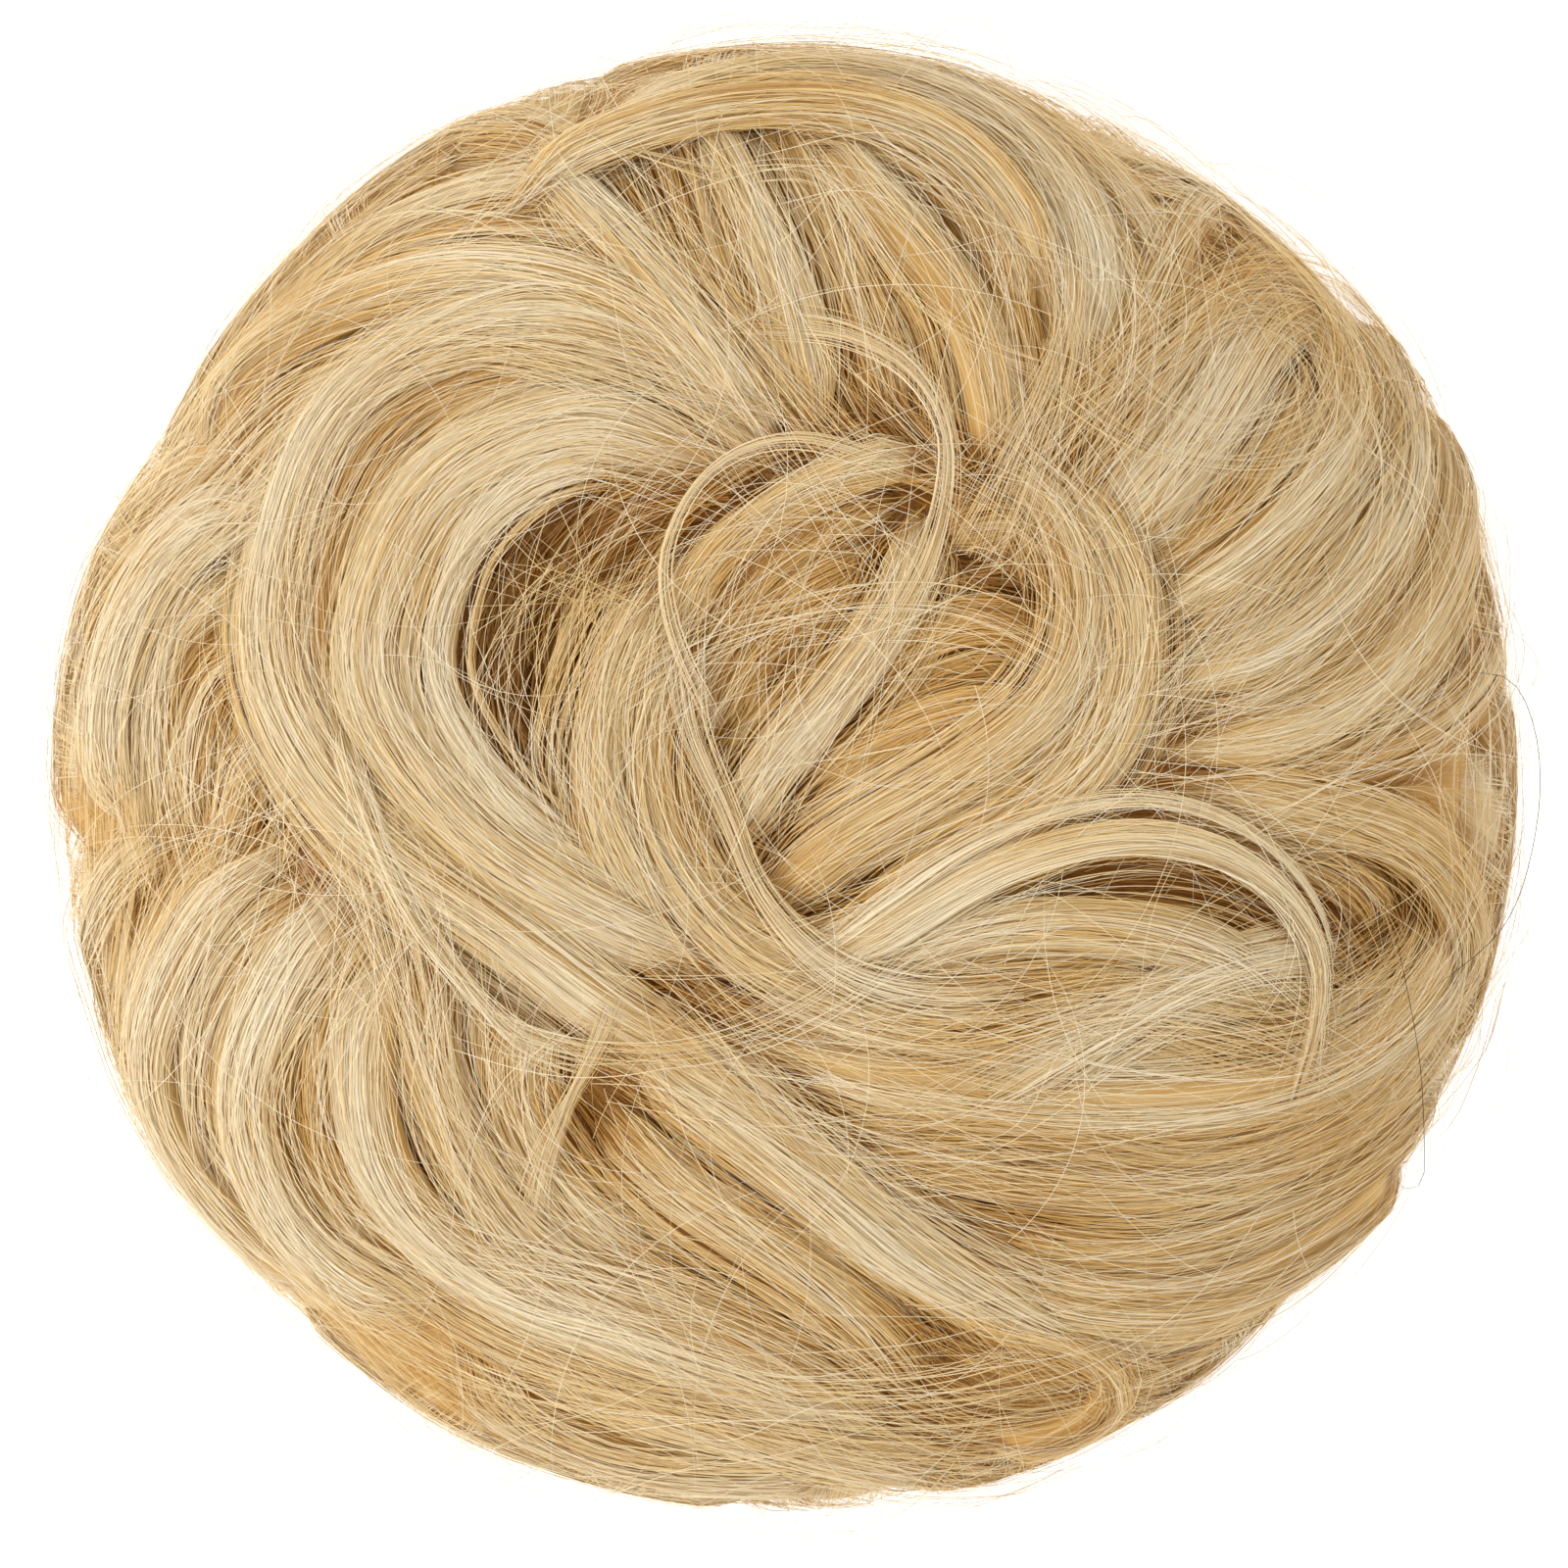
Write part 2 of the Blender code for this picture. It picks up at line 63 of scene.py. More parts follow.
class Region(Enum):
    """The areas of the bun that the locks are grouped in."""

    SWIRL = "swirl"
    KNOT = "knot"
    FAN = "fan"
    LEFT_EDGE = "left_edge"
    LOWER_LEFT = "lower_left"
    LOWER_RIGHT = "lower_right"
    RIGHT_ARCS = "right_arcs"
    RIM = "rim"


@dataclass(frozen=True)
class Lock:
    """One lock of hair, as seen from above.

    A tone of 0 is the deep honey of the hidden hair, partly its own colour and partly painted shade, and 1 is the
    palest butter blonde. A route point further out than the outline's radius lies that much further down the side.
    """

    name: str
    width: float
    thick: float
    layer: int
    tone: float
    route: Route
    free_end: bool = False


# The left edge and lower left are made paler, painted light on the side that the key softbox lights; the other
# shifts are small changes of colour.
TONE_SHIFT: dict[Region, float] = {
    Region.SWIRL: 0.05, Region.KNOT: -0.03, Region.LEFT_EDGE: 0.15, Region.LOWER_LEFT: 0.16,
    Region.LOWER_RIGHT: -0.03, Region.RIGHT_ARCS: 0.03}

# The tones of layer 0 locks and of many lower locks are kept low, partly their own colour and partly painted shade
# under the locks above.
LOCKS: dict[Region, tuple[Lock, ...]] = {
    Region.SWIRL: (
        Lock("swirl_crest", 7, 5, 2, 0.62, ((0, 30), (-13, 46), (-30, 51), (-46, 48), (-57, 41), (-64, 29))),
        Lock("swirl_outer", 7, 6, 2, 0.74, ((1, 31), (-13, 44), (-30, 46), (-45, 38), (-51, 24), (-51, 9),
             (-42, -5), (-28, -15), (-15, -25), (2, -33))),
        Lock("swirl_trough", 8, 5, 1, 0.38, ((-8, 38), (-22, 41), (-37, 37), (-45, 25), (-45, 10), (-36, -5),
             (-22, -18))),
        Lock("swirl_middle", 8, 6, 2, 0.72, ((-1, 31), (-11, 34), (-20, 36), (-33, 31), (-40, 20), (-41, 8),
             (-32, -5), (-18, -14), (0, -21))),
        Lock("swirl_inner", 4, 4, 2, 0.76, ((-13, 30), (-21, 32), (-30, 26), (-34, 17), (-34, 8), (-27, -3),
             (-17, -10))),
        Lock("hollow_floor", 9, 5, 0, 0.26, ((-17, 25), (-22, 14), (-25, 4), (-20, -6), (-11, -12))),
        Lock("hollow_top", 8, 5, 0, 0.24, ((3, 30), (-7, 31), (-17, 28), (-24, 20), (-26, 10))),
        Lock("hollow_slope", 6, 5, 0, 0.34, ((-6, 24), (-13, 22), (-18, 13), (-19, 3), (-15, -7))),
        Lock("hollow_side", 7, 5, 0, 0.3, ((-24, 27), (-29, 18), (-29, 7), (-23, -3))),
    ),
    Region.KNOT: (
        Lock("eye_upper", 5, 5, 2, 0.7, ((16, 33), (6, 31), (-3, 26), (-9, 20), (-12, 12))),
        Lock("eye_middle", 6, 5, 1, 0.52, ((13, 29), (4, 26), (-5, 19), (-10, 10))),
        Lock("eye_lower", 7, 5, 1, 0.55, ((11, 23), (2, 19), (-5, 12), (-9, 3))),
        Lock("eye_deep", 8, 5, 0, 0.25, ((9, 16), (1, 10), (-6, 2), (-9, -8))),
        Lock("centre_sweep", 6.5, 5, 2, 0.74, ((14, 28), (12, 18), (5, 8), (-2, 0), (-7, -9))),
        Lock("centre_arc", 6, 5, 2, 0.7, ((17, 33), (25, 30), (30, 19), (27, 8), (17, 0), (4, -8), (-5, -16))),
        Lock("centre_arc_outer", 6.5, 5, 2, 0.62, ((24, 34), (32, 24), (35, 12), (30, 0), (18, -8), (4, -16))),
        Lock("centre_fold_upper", 6, 5, 1, 0.55, ((29, 18), (24, 25), (15, 25))),
        Lock("centre_fold_middle", 6, 5, 1, 0.6, ((29, 13), (20, 16), (11, 13), (6, 7))),
        Lock("centre_fold_lower", 7, 5, 1, 0.5, ((27, 7), (17, 7), (7, 2), (0, -4))),
        Lock("under_arc", 7, 5, 1, 0.5, ((31, -2), (20, -10), (8, -16), (-4, -19))),
        Lock("left_fall_outer", 6.4, 5, 2, 0.72, ((-11, 21), (-16.5, 13), (-19, 1), (-16, -9), (-9, -17))),
        Lock("left_fall_inner", 6.5, 5, 2, 0.62, ((-9, 16), (-14, 5), (-12, -7), (-4, -17), (8, -22))),
    ),
    Region.FAN: (
        Lock("crest_top", 6, 5, 1, 0.6, ((-26, 66), (-15, 72), (0, 73.5), (15, 71), (28, 64), (37, 54), (40, 44))),
        Lock("crest_inner", 6.5, 5, 2, 0.74, ((-23, 61), (-13, 67), (2, 71), (17, 68), (27, 60), (31, 49),
             (29, 38))),
        Lock("crest_low", 5, 4, 2, 0.52, ((-4, 66), (6, 66), (15, 62.5), (22, 55), (25, 44))),
        Lock("crest_brim", 5, 4, 3, 0.66, ((-31, 57), (-24, 62), (-14, 66), (-3, 68), (8, 67.5), (18, 63.5),
             (25, 55), (28, 45))),
        Lock("crest_right", 8, 5, 1, 0.5, ((18, 65), (29, 57), (35, 46), (33, 34))),
        Lock("fan_left", 6, 5, 1, 0.46, ((-26, 66), (-22, 60), (-16, 52), (-9, 42), (0, 31))),
        Lock("fan_left_inner", 6, 4.4, 2, 0.72, ((-25, 63), (-20, 58), (-13, 50), (-6, 41), (0, 33))),
        Lock("fan_middle", 7, 4.6, 1, 0.46, ((-12, 69), (-9, 62), (-5, 52), (-1, 43), (4, 33))),
        Lock("fan_middle_right", 5.5, 4.6, 2, 0.74, ((-9, 68), (-5, 61), (-1, 52), (2, 43), (4, 34))),
        Lock("fan_filler", 8, 4.6, 1, 0.56, ((-3, 70), (2, 62), (6, 52), (9, 43), (12, 33))),
        Lock("fan_right", 5.5, 4.6, 2, 0.62, ((2, 67), (7, 60), (13, 53), (18, 46), (20.5, 37), (21, 29))),
        Lock("fan_right_outer", 7, 5, 1, 0.46, ((3, 71), (8, 65), (17, 58), (22, 48), (24, 36), (25, 26))),
    ),
    Region.LEFT_EDGE: (
        Lock("brow_outer", 8, 6, 1, 0.52, ((-16, 65), (-30, 65), (-43, 59), (-54, 49), (-62, 36), (-70, 26))),
        Lock("brow_inner", 7, 5, 1, 0.56, ((-15, 59), (-28, 59), (-42, 54), (-53, 45), (-60, 34))),
        Lock("brow_low", 5, 4, 1, 0.35, ((-13, 52), (-26, 54), (-40, 52), (-51, 45))),
        Lock("cheek_outer", 7, 6, 1, 0.62, ((-51, 35), (-61, 33), (-68, 24), (-72, 12), (-73, -1), (-71, -12))),
        Lock("cheek_second", 6, 5, 2, 0.7, ((-51, 28), (-60, 25), (-66, 15), (-68, 4), (-66, -7))),
        Lock("cheek_third", 6, 5, 1, 0.55, ((-51, 21), (-58, 17), (-62, 8), (-63, -3), (-62, -12))),
        Lock("cheek_fourth", 6, 5, 1, 0.45, ((-51, 14), (-57, 10), (-59, 2), (-59, -8))),
        Lock("cheek_inner", 7, 5, 1, 0.42, ((-49, 6), (-54, 2), (-56, -7), (-61, -14))),
    ),
    Region.LOWER_LEFT: (
        Lock("jaw_outer", 6, 5, 1, 0.62, ((-56, -3), (-66, -8), (-71, -20), (-69, -31), (-62, -41), (-54, -50))),
        Lock("jaw_second", 6, 5, 2, 0.68, ((-49, -5), (-58, -12), (-64, -25), (-62, -36), (-54, -47), (-44, -56))),
        Lock("jaw_third", 7, 5, 1, 0.5, ((-46, -9), (-55, -17), (-58, -28), (-56, -40), (-48, -51))),
        Lock("jaw_fourth", 7, 5, 2, 0.62, ((-43, -9), (-51, -22), (-54, -33), (-50, -45), (-42, -52), (-32, -55))),
        Lock("jaw_fifth", 8, 5, 1, 0.4, ((-38, -10), (-46, -24), (-47, -36), (-41, -46), (-30, -53))),
        Lock("jaw_inner", 7, 5, 2, 0.70, ((-38, -12), (-42, -26), (-40, -40), (-30, -50), (-16, -55), (-2, -60),
             (12, -66))),
        Lock("lower_fall", 9, 5, 1, 0.42, ((-34, -14), (-35, -27), (-30, -39), (-20, -49), (-6, -55))),
        Lock("side_tail", 3.2, 3.4, 2, 0.7, ((-46, 9), (-42, -2), (-38, -11), (-33, -19), (-26, -27)),
             free_end=True),
        Lock("inner_fall", 8, 5, 1, 0.45, ((-25, -20), (-27, -30), (-22, -41), (-12, -50))),
        Lock("diagonal_upper", 6.5, 6, 2, 0.72, ((-18, -25), (-8, -31), (4, -40), (14, -48), (27, -54), (36, -56))),
        Lock("diagonal_lower", 8, 5, 1, 0.5, ((-22, -31), (-12, -41), (0, -49), (9, -56), (15, -64))),
        Lock("diagonal_third", 8, 5, 1, 0.5, ((-20, -48), (-8, -54), (3, -60), (12, -67))),
        Lock("chin_outer", 7, 5, 1, 0.6, ((-54, -48), (-46, -56), (-36, -64), (-24, -70), (-10, -73), (3, -74))),
        Lock("chin_second", 8, 5, 1, 0.5, ((-35, -56), (-29, -63), (-18, -68), (-5, -70), (9, -70))),
        Lock("chin_inner", 8, 5, 1, 0.52, ((-27, -54), (-17, -61), (-4, -65), (9, -68), (17, -70))),
    ),
    Region.LOWER_RIGHT: (
        Lock("arch", 4.4, 3.2, 3, 0.85, ((0, -21), (10, -15.5), (22, -8.5), (36, -5.5), (48, -9.5), (54, -19),
             (51, -33)), free_end=True),
        Lock("arch_under", 5, 5, 2, 0.7, ((6, -20), (18, -15), (32, -14.5), (44, -17.5), (52, -25))),
        Lock("oblique", 6, 5, 2, 0.76, ((14, -35), (22, -31.5), (31, -26), (40, -21), (50, -18), (58, -19))),
        Lock("rung_upper", 7, 5, 1, 0.5, ((8, -22), (20, -20), (32, -19), (42, -21))),
        Lock("rung_middle", 7, 5, 1, 0.5, ((-4, -24), (10, -26), (24, -26), (36, -26), (50, -26))),
        Lock("band_upper", 7, 5, 2, 0.7, ((-4, -27), (10, -30), (25, -32.5), (42, -32.5), (56, -29), (66, -20),
             (71, -7))),
        Lock("band_second", 8, 5, 1, 0.58, ((2, -33), (16, -38.5), (32, -41), (46, -39.5), (59, -32.5), (68, -22))),
        Lock("band_third", 8, 5, 1, 0.6, ((14, -44), (27, -48), (41, -48), (54, -43.5), (63, -35), (70, -24))),
        Lock("band_fourth", 7, 5, 2, 0.66, ((19, -50), (32, -53), (46, -52), (57, -46), (65, -36))),
        Lock("hook", 4.4, 4, 2, 0.5, ((14, -53), (25, -55), (32, -58), (33.5, -62.5), (28, -66.5), (18, -69))),
        Lock("edge_low_right", 8, 5, 1, 0.6, ((28, -64), (40, -61), (50, -56.5), (59, -49), (66, -39))),
        Lock("edge_bottom", 8, 5, 1, 0.55, ((10, -69), (22, -70), (33, -67), (44, -61))),
        Lock("turn_outer", 6, 5, 2, 0.7, ((40, -1), (53, -3), (64, -7), (69, -16), (66, -27))),
        Lock("turn_inner", 6, 5, 1, 0.5, ((36, -3), (48, -6), (57, -10), (61, -17))),
        Lock("edge_right", 6, 5, 1, 0.6, ((69, 14), (73, 2), (73, -9), (70, -20), (64, -31))),
    ),
    Region.RIGHT_ARCS: (
        Lock("arc_first", 6, 5, 1, 0.44, ((40, -1), (52, 0), (63, 4), (70, 11), (72, 21), (71, 31), (67, 40))),
        Lock("arc_second", 6, 5, 2, 0.8, ((38, 2.5), (50, 4), (60, 10), (66, 19), (68, 28), (66, 37), (61, 45))),
        Lock("arc_third", 6, 5, 1, 0.4, ((37, 5.5), (48, 8), (58, 15), (64, 24), (66, 34), (64, 42), (59, 48))),
        Lock("arc_fourth", 6, 5, 2, 0.82, ((36, 8.5), (47, 12), (56, 19), (62, 29), (62, 38), (59, 46), (54, 51))),
        Lock("arc_fifth", 5.5, 5, 1, 0.4, ((36, 12), (46, 17), (55, 24), (60, 33), (59, 41), (56, 48), (51, 53))),
        Lock("arc_sixth", 6, 5, 2, 0.74, ((35, 15.5), (45, 21), (53, 29), (57, 37), (55, 44), (52, 50), (48, 54))),
        Lock("arc_seventh", 7, 5, 1, 0.42, ((34, 19.5), (43, 27), (49, 35), (53, 43))),
        Lock("arc_eighth", 7.5, 5, 2, 0.72, ((31, 22), (38, 30), (44, 38), (49, 46), (55, 48))),
        Lock("arc_ninth", 7, 5, 1, 0.42, ((29, 25), (35, 33), (41, 42), (46, 50), (53, 52))),
        Lock("arc_tenth", 6, 5, 1, 0.55, ((27, 29), (32, 38), (37, 48), (42, 57), (50, 60))),
        Lock("lobe_top_right", 8, 5, 1, 0.5, ((30, 62), (41, 59), (50, 53), (57, 45), (64, 36))),
        Lock("edge_top_right", 7, 5, 1, 0.55, ((52, 50), (60, 44), (66, 33), (70, 20), (73, 8))),
    ),
}


def ease(share: np.ndarray) -> np.ndarray:
    """Rises from 0 to 1 as its argument does, level at both ends."""
    share = np.clip(share, 0.0, 1.0)
    return share * share * (3 - 2 * share)


def unit(vectors: np.ndarray) -> np.ndarray:
    """Vectors along the last axis, scaled to length 1."""
    length = np.linalg.norm(vectors, axis=-1, keepdims=True)
    return vectors / np.maximum(length, 1e-9)


def heading_to(angle: np.ndarray) -> np.ndarray:
    """Flat unit vectors at angles from +X, in radians."""
    return np.stack([np.cos(angle), np.sin(angle)], axis=-1)


def beside(route: np.ndarray) -> np.ndarray:
    """Flat unit vectors to the right of a flat route, at each of its points."""
    tangent = unit(np.gradient(route, axis=0))
    return np.stack([tangent[:, 1], -tangent[:, 0]], axis=-1)


def along_axis(share: np.ndarray, values: np.ndarray) -> np.ndarray:
    """Values a row each, or plain numbers, at shares from 0 to 1 of the way through them.

    Args:
        share: Any shares.
        values: Two or more of them.

    Returns:
        The values between them, one for each share.
    """
    where = np.linspace(0, 1, len(values))
    if values.ndim == 1:
        return np.interp(share, where, values)
    return np.stack([np.interp(share, where, values[:, k]) for k in range(values.shape[1])], axis=-1)


def sheet(rows: int, columns: int) -> tuple[np.ndarray, np.ndarray]:
    """The corners of a grid's cells.

    Args:
        rows: The number of cells one way.
        columns: The number of cells the other way.

    Returns:
        The row and the column of each cell's four corners, a cell to each row of both arrays.
    """
    row, column = np.divmod(np.arange(rows * columns), columns)
    return (np.stack([row, row + 1, row + 1, row], axis=-1),
            np.stack([column, column, column + 1, column + 1], axis=-1))


def smooth_route(route: Route | np.ndarray, spacing: float) -> np.ndarray:
    """A Catmull-Rom curve through points, evenly spaced and gently relaxed.

    Args:
        route: Two or more points.
        spacing: The wanted distance between the curve's points, in millimetres.

    Returns:
        The curve's points, one a row.
    """
    points = np.asarray(route, dtype=float)
    pieces = relaxings = 12
    ends = np.vstack([2 * points[0] - points[1], points, 2 * points[-1] - points[-2]])
    before, start, end, after = ends[:-3, None], ends[1:-2, None], ends[2:-1, None], ends[3:, None]
    t = (np.arange(pieces) / pieces)[None, :, None]
    fine = 0.5 * (2 * start + (end - before) * t
                  + (2 * before - 5 * start + 4 * end - after) * t ** 2
                  + (3 * start - before - 3 * end + after) * t ** 3)
    fine = np.vstack([fine.reshape(-1, points.shape[1]), points[-1:]])
    for _ in range(relaxings):
        fine[1:-1] += 0.5 * (0.5 * (fine[:-2] + fine[2:]) - fine[1:-1])
    travelled = np.concatenate([[0.0], np.cumsum(np.linalg.norm(np.diff(fine, axis=0), axis=1))])
    wanted = np.linspace(0, travelled[-1], max(4, round(travelled[-1] / spacing)) + 1)
    return np.stack([np.interp(wanted, travelled, fine[:, k]) for k in range(fine.shape[1])], axis=1)


@dataclass(frozen=True)
class CrownShape:
    """The rounded form that the whole bun follows, with its deep opening and its gaps, both darkened with painted
    shade, and its outline's notches.

    Each gap is a place along X and Y and a size. Each notch is a turn round Z and a half width, in degrees,
    and the share of the radius that it takes away.
    """

    radius: float = 78.5
    waist_height: float = 26.0
    crown_rise: float = 37.0
    underside_drop: float = 33.0
    underside_fullness: float = 0.6
    dip: float = 6.0
    dip_radius: float = 20.0
    steepest_lean: float = math.radians(150)
    opening_centre: tuple[float, float] = (-22.0, 14.0)
    opening_half_size: tuple[float, float] = (12.0, 16.0)
    opening_depth: float = 7.5
    opening_steepness: float = 1.5
    # Painted light and shade: hair near the outline is made paler and hair deeper under it darker, within these
    # limits.
    depth_shade_fall: float = 0.045
    tone_range: tuple[float, float] = (-0.28, 0.10)
    level_depth: float = 2.6
    fade_reach: float = 58.0
    fade_width: float = 12.0
    # Painted shade: the tone taken off in the gaps between the locks, below these depths.
    gap_painted_shade: float = 0.30
    gap_depth: tuple[float, float] = (2.2, 4.6)
    gaps: tuple[tuple[float, float, float], ...] = (
        (-37, 35, 4), (-20, 29, 4), (-24, 8, 3), (-1, 12, 4), (7, 21, 5), (7, 5, 4), (2, 0, 4), (3, 32, 4),
        (-27, 54, 5), (-16, 60, 4), (-8, 65, 4), (9, 55, 4), (5, 44, 3), (10, 36, 4), (20, 31, 4), (23, 17, 4),
        (44, 27, 5), (30, 33, 4), (58, 3, 5), (66, 14, 4), (49, 44, 4), (43, 54, 4), (31, 0, 3),
        (-11, -17, 6), (-46, -40, 5), (-50, -34, 4), (-33, -54, 4), (-18, -37, 5), (-33, -63, 4), (-57, 8, 4),
        (22, -22, 5), (64, -18, 6), (49, -27, 4), (24, -44, 5), (12, -56, 6), (13, -40, 4))
    notches: tuple[tuple[float, float, float], ...] = (
        (152.0, 9.0, 0.045), (136.0, 12.0, 0.028), (196.0, 8.0, 0.02), (318.0, 9.0, 0.022), (228.0, 12.0, 0.018))

    def notched(self, turn: np.ndarray) -> np.ndarray:
        """How far the outline reaches at each turn round Z, as a share of its radius."""
        drawn_in = [share * np.exp(-((((np.degrees(turn) - middle + 180) % 360) - 180) / half_width) ** 2)
                    for middle, half_width, share in self.notches]
        return 1 - sum(drawn_in)

    def opening(self, flat: np.ndarray) -> np.ndarray:
        """How deep the dark opening in the crown goes at places seen from above, in millimetres.

        Args:
            flat: Places with x and y first on the last axis.

        Returns:
            A depth for each.
        """
        across = (flat[..., 0] - self.opening_centre[0]) / self.opening_half_size[0]
        along = (flat[..., 1] - self.opening_centre[1]) / self.opening_half_size[1]
        return self.opening_depth * np.clip(1 - across ** 2 - along ** 2, 0, 1) ** self.opening_steepness

    def _rise(self, above: np.ndarray) -> np.ndarray:
        """The height from the waist to the crown, or to the underside where a place isn't above the waist."""
        return np.where(above, self.crown_rise, self.underside_drop)

    def _dipped(self, reach: np.ndarray, above: np.ndarray) -> np.ndarray:
        """How far the crown dips in its middle, in millimetres."""
        return np.where(above, self.dip * np.exp(-((reach / self.dip_radius) ** 2)), 0.0)

    def leaned(self, turn: np.ndarray, lean: np.ndarray, depth: np.ndarray) -> np.ndarray:
        """Points at a turn round Z and a lean away from it.

        Args:
            turn: Angle round Z, in radians.
            lean: Angle from the crown, in radians, past a quarter turn on the underside.
            depth: How far inside the outline, in millimetres.

        Returns:
            An array of points with x, y and z on the last axis.
        """
        upper = lean < math.pi / 2
        fullness = np.where(upper, 1.0, self.underside_fullness)
        reach = (self.radius - depth) * np.maximum(np.sin(lean), 0.0) ** fullness
        reach = reach * (1 + (self.notched(turn) - 1) * np.clip(reach / self.radius, 0, 1) ** 4)
        height = self.waist_height + (self._rise(upper) - depth) * np.cos(lean) - self._dipped(reach, upper)
        return np.stack([reach * np.cos(turn), reach * np.sin(turn), height], axis=-1)

    def point(self, flat: np.ndarray, depth: np.ndarray) -> np.ndarray:
        """Points this deep under the outline, for places seen from above.

        Args:
            flat: Places along X and Y on the last axis, in millimetres.
            depth: How far inside the outline, in millimetres.

        Returns:
            An array of points with x, y and z on the last axis.
        """
        x, y = flat[..., 0], flat[..., 1]
        reach = np.hypot(x, y)
        radius = self.radius - depth
        inside = np.arcsin(np.clip(reach / radius, 0, 1))
        beyond = math.pi / 2 + (reach - radius) / self.underside_drop
        lean = np.where(reach <= radius, inside, np.minimum(beyond, self.steepest_lean))
        return self.leaned(np.arctan2(y, x), lean, depth)

    def gap_shade_share(self, x: np.ndarray, y: np.ndarray) -> np.ndarray:
        """How far each place is inside one of the gaps between the locks that are darkened with painted shade, from
        0 to 1.
        """
        return np.clip(sum(np.exp(-((x - a) ** 2 + (y - b) ** 2) / size ** 2) for a, b, size in self.gaps), 0, 1)

    def depth_shade_tone(self, points: np.ndarray) -> np.ndarray:
        """What to add to points' tone as painted light and shade: paler near the outline, darker for the hair under
        it and in the gaps between the locks.

        Args:
            points: Points with x, y and z on the last axis.

        Returns:
            The change for each point.
        """
        reach = np.hypot(points[..., 0], points[..., 1])
        height = points[..., 2] - self.waist_height
        rise = self._rise(height > 0)
        height = height + self._dipped(reach, height > 0)
        share = np.maximum(np.hypot(reach / self.radius, height / rise), 1e-6)
        slope = np.hypot(reach / self.radius ** 2, height / rise ** 2) / share
        depth = (1 - share) / np.maximum(slope, 1e-6)
        covered = 1 - ease((reach - self.fade_reach) / self.fade_width)
        under = ease((depth - self.gap_depth[0]) / (self.gap_depth[1] - self.gap_depth[0]))
        shade = self.gap_painted_shade * under * self.gap_shade_share(points[..., 0], points[..., 1]) * (height > 0)
        return np.clip(self.depth_shade_fall * (self.level_depth - depth), *self.tone_range) * covered - shade

    def normal(self, points: np.ndarray) -> np.ndarray:
        """Outward directions at points near the outline.

        Args:
            points: Points with x, y and z on the last axis.

        Returns:
            A unit vector for each.
        """
        height = points[..., 2] - self.waist_height
        flat = points[..., :2] / self.radius ** 2
        return unit(np.concatenate([flat, (height / self._rise(height > 0) ** 2)[..., None]], axis=-1))


@dataclass(frozen=True)
class LockPath:
    """The middle line of a lock with its frame and its swelling, ready to be sampled."""

    centre: np.ndarray
    normal: np.ndarray
    side: np.ndarray
    width: np.ndarray
    thick: np.ndarray
    length: float

    def at(self, share: np.ndarray) -> tuple[np.ndarray, ...]:
        """Centre, normal, side, width and thickness at shares of the length from 0 to 1."""
        return tuple(along_axis(share, v) for v in (self.centre, self.normal, self.side, self.width, self.thick))


@dataclass(frozen=True)
class LockShaper:
    """Turns a lock's route into a path on the crown, with the ends tucked under their neighbours."""

    crown: CrownShape = CrownShape()
    layer_depth: tuple[float, ...] = (7.0, 4.6, 2.4, 0.6)
    route_spacing: float = 3.0
    spacing: float = 1.5
    end_share: float = 0.16
    end_sink: float = 4.5
    tip_scale: float = 0.3
    thinning_from: float = 0.45
    thinning: float = 0.8

    def path(self, lock: Lock) -> LockPath:
        """Works out where a lock lies.

        Args:
            lock: The lock.

        Returns:
            Its path, in millimetres.
        """
        depth = self.layer_depth[lock.layer] + lock.thick / 2 - self.layer_depth[-1]
        route = smooth_route(lock.route, self.route_spacing)
        if lock.layer == 0:
            depth = depth + self.crown.opening(route)
        centre = smooth_route(self.crown.point(route, depth), self.spacing)
        normal = self.crown.normal(centre)
        side = unit(np.cross(unit(np.gradient(centre, axis=0)), normal))
        share = np.linspace(0, 1, len(centre))
        swell_start = ease(share / self.end_share)
        swell_end = ease((1 - share) / self.end_share)
        end_sink = 0.0 if lock.free_end else self.end_sink
        sink = self.end_sink * (1 - swell_start) + end_sink * (1 - swell_end)
        scale = self.tip_scale + (1 - self.tip_scale) * swell_start * swell_end
        if lock.free_end:
            scale = scale * (1 - self.thinning * ease((share - self.thinning_from) / (1 - self.thinning_from)))
        length = float(np.linalg.norm(np.diff(centre, axis=0), axis=1).sum())
        return LockPath(centre - normal * sink[:, None], normal, side, lock.width * scale,
                        lock.thick * (0.5 + scale / 2), length)


class Socket:
    """A node's output, on which sums are written as plain expressions that add Math nodes."""

    def __init__(self, graph: "Graph", output: bpy.types.NodeSocket) -> None:
        """Wraps an output of one of the graph's nodes."""
        self.graph = graph
        self.output = output

    def _math(self, operation: str, other: "Socket | float") -> "Socket":
        """Adds one Math node on this and another value, and gives its result."""
        return self.graph.node("ShaderNodeMath", {"operation": operation}, {0: self, 1: other})

    def __add__(self, other: "Socket | float") -> "Socket":
        """Adds a value."""
        return self._math("ADD", other)

    def __sub__(self, other: "Socket | float") -> "Socket":
        """Takes a value away."""
        return self._math("SUBTRACT", other)

    def __mul__(self, other: "Socket | float") -> "Socket":
        """Multiplies by a value."""
        return self._math("MULTIPLY", other)


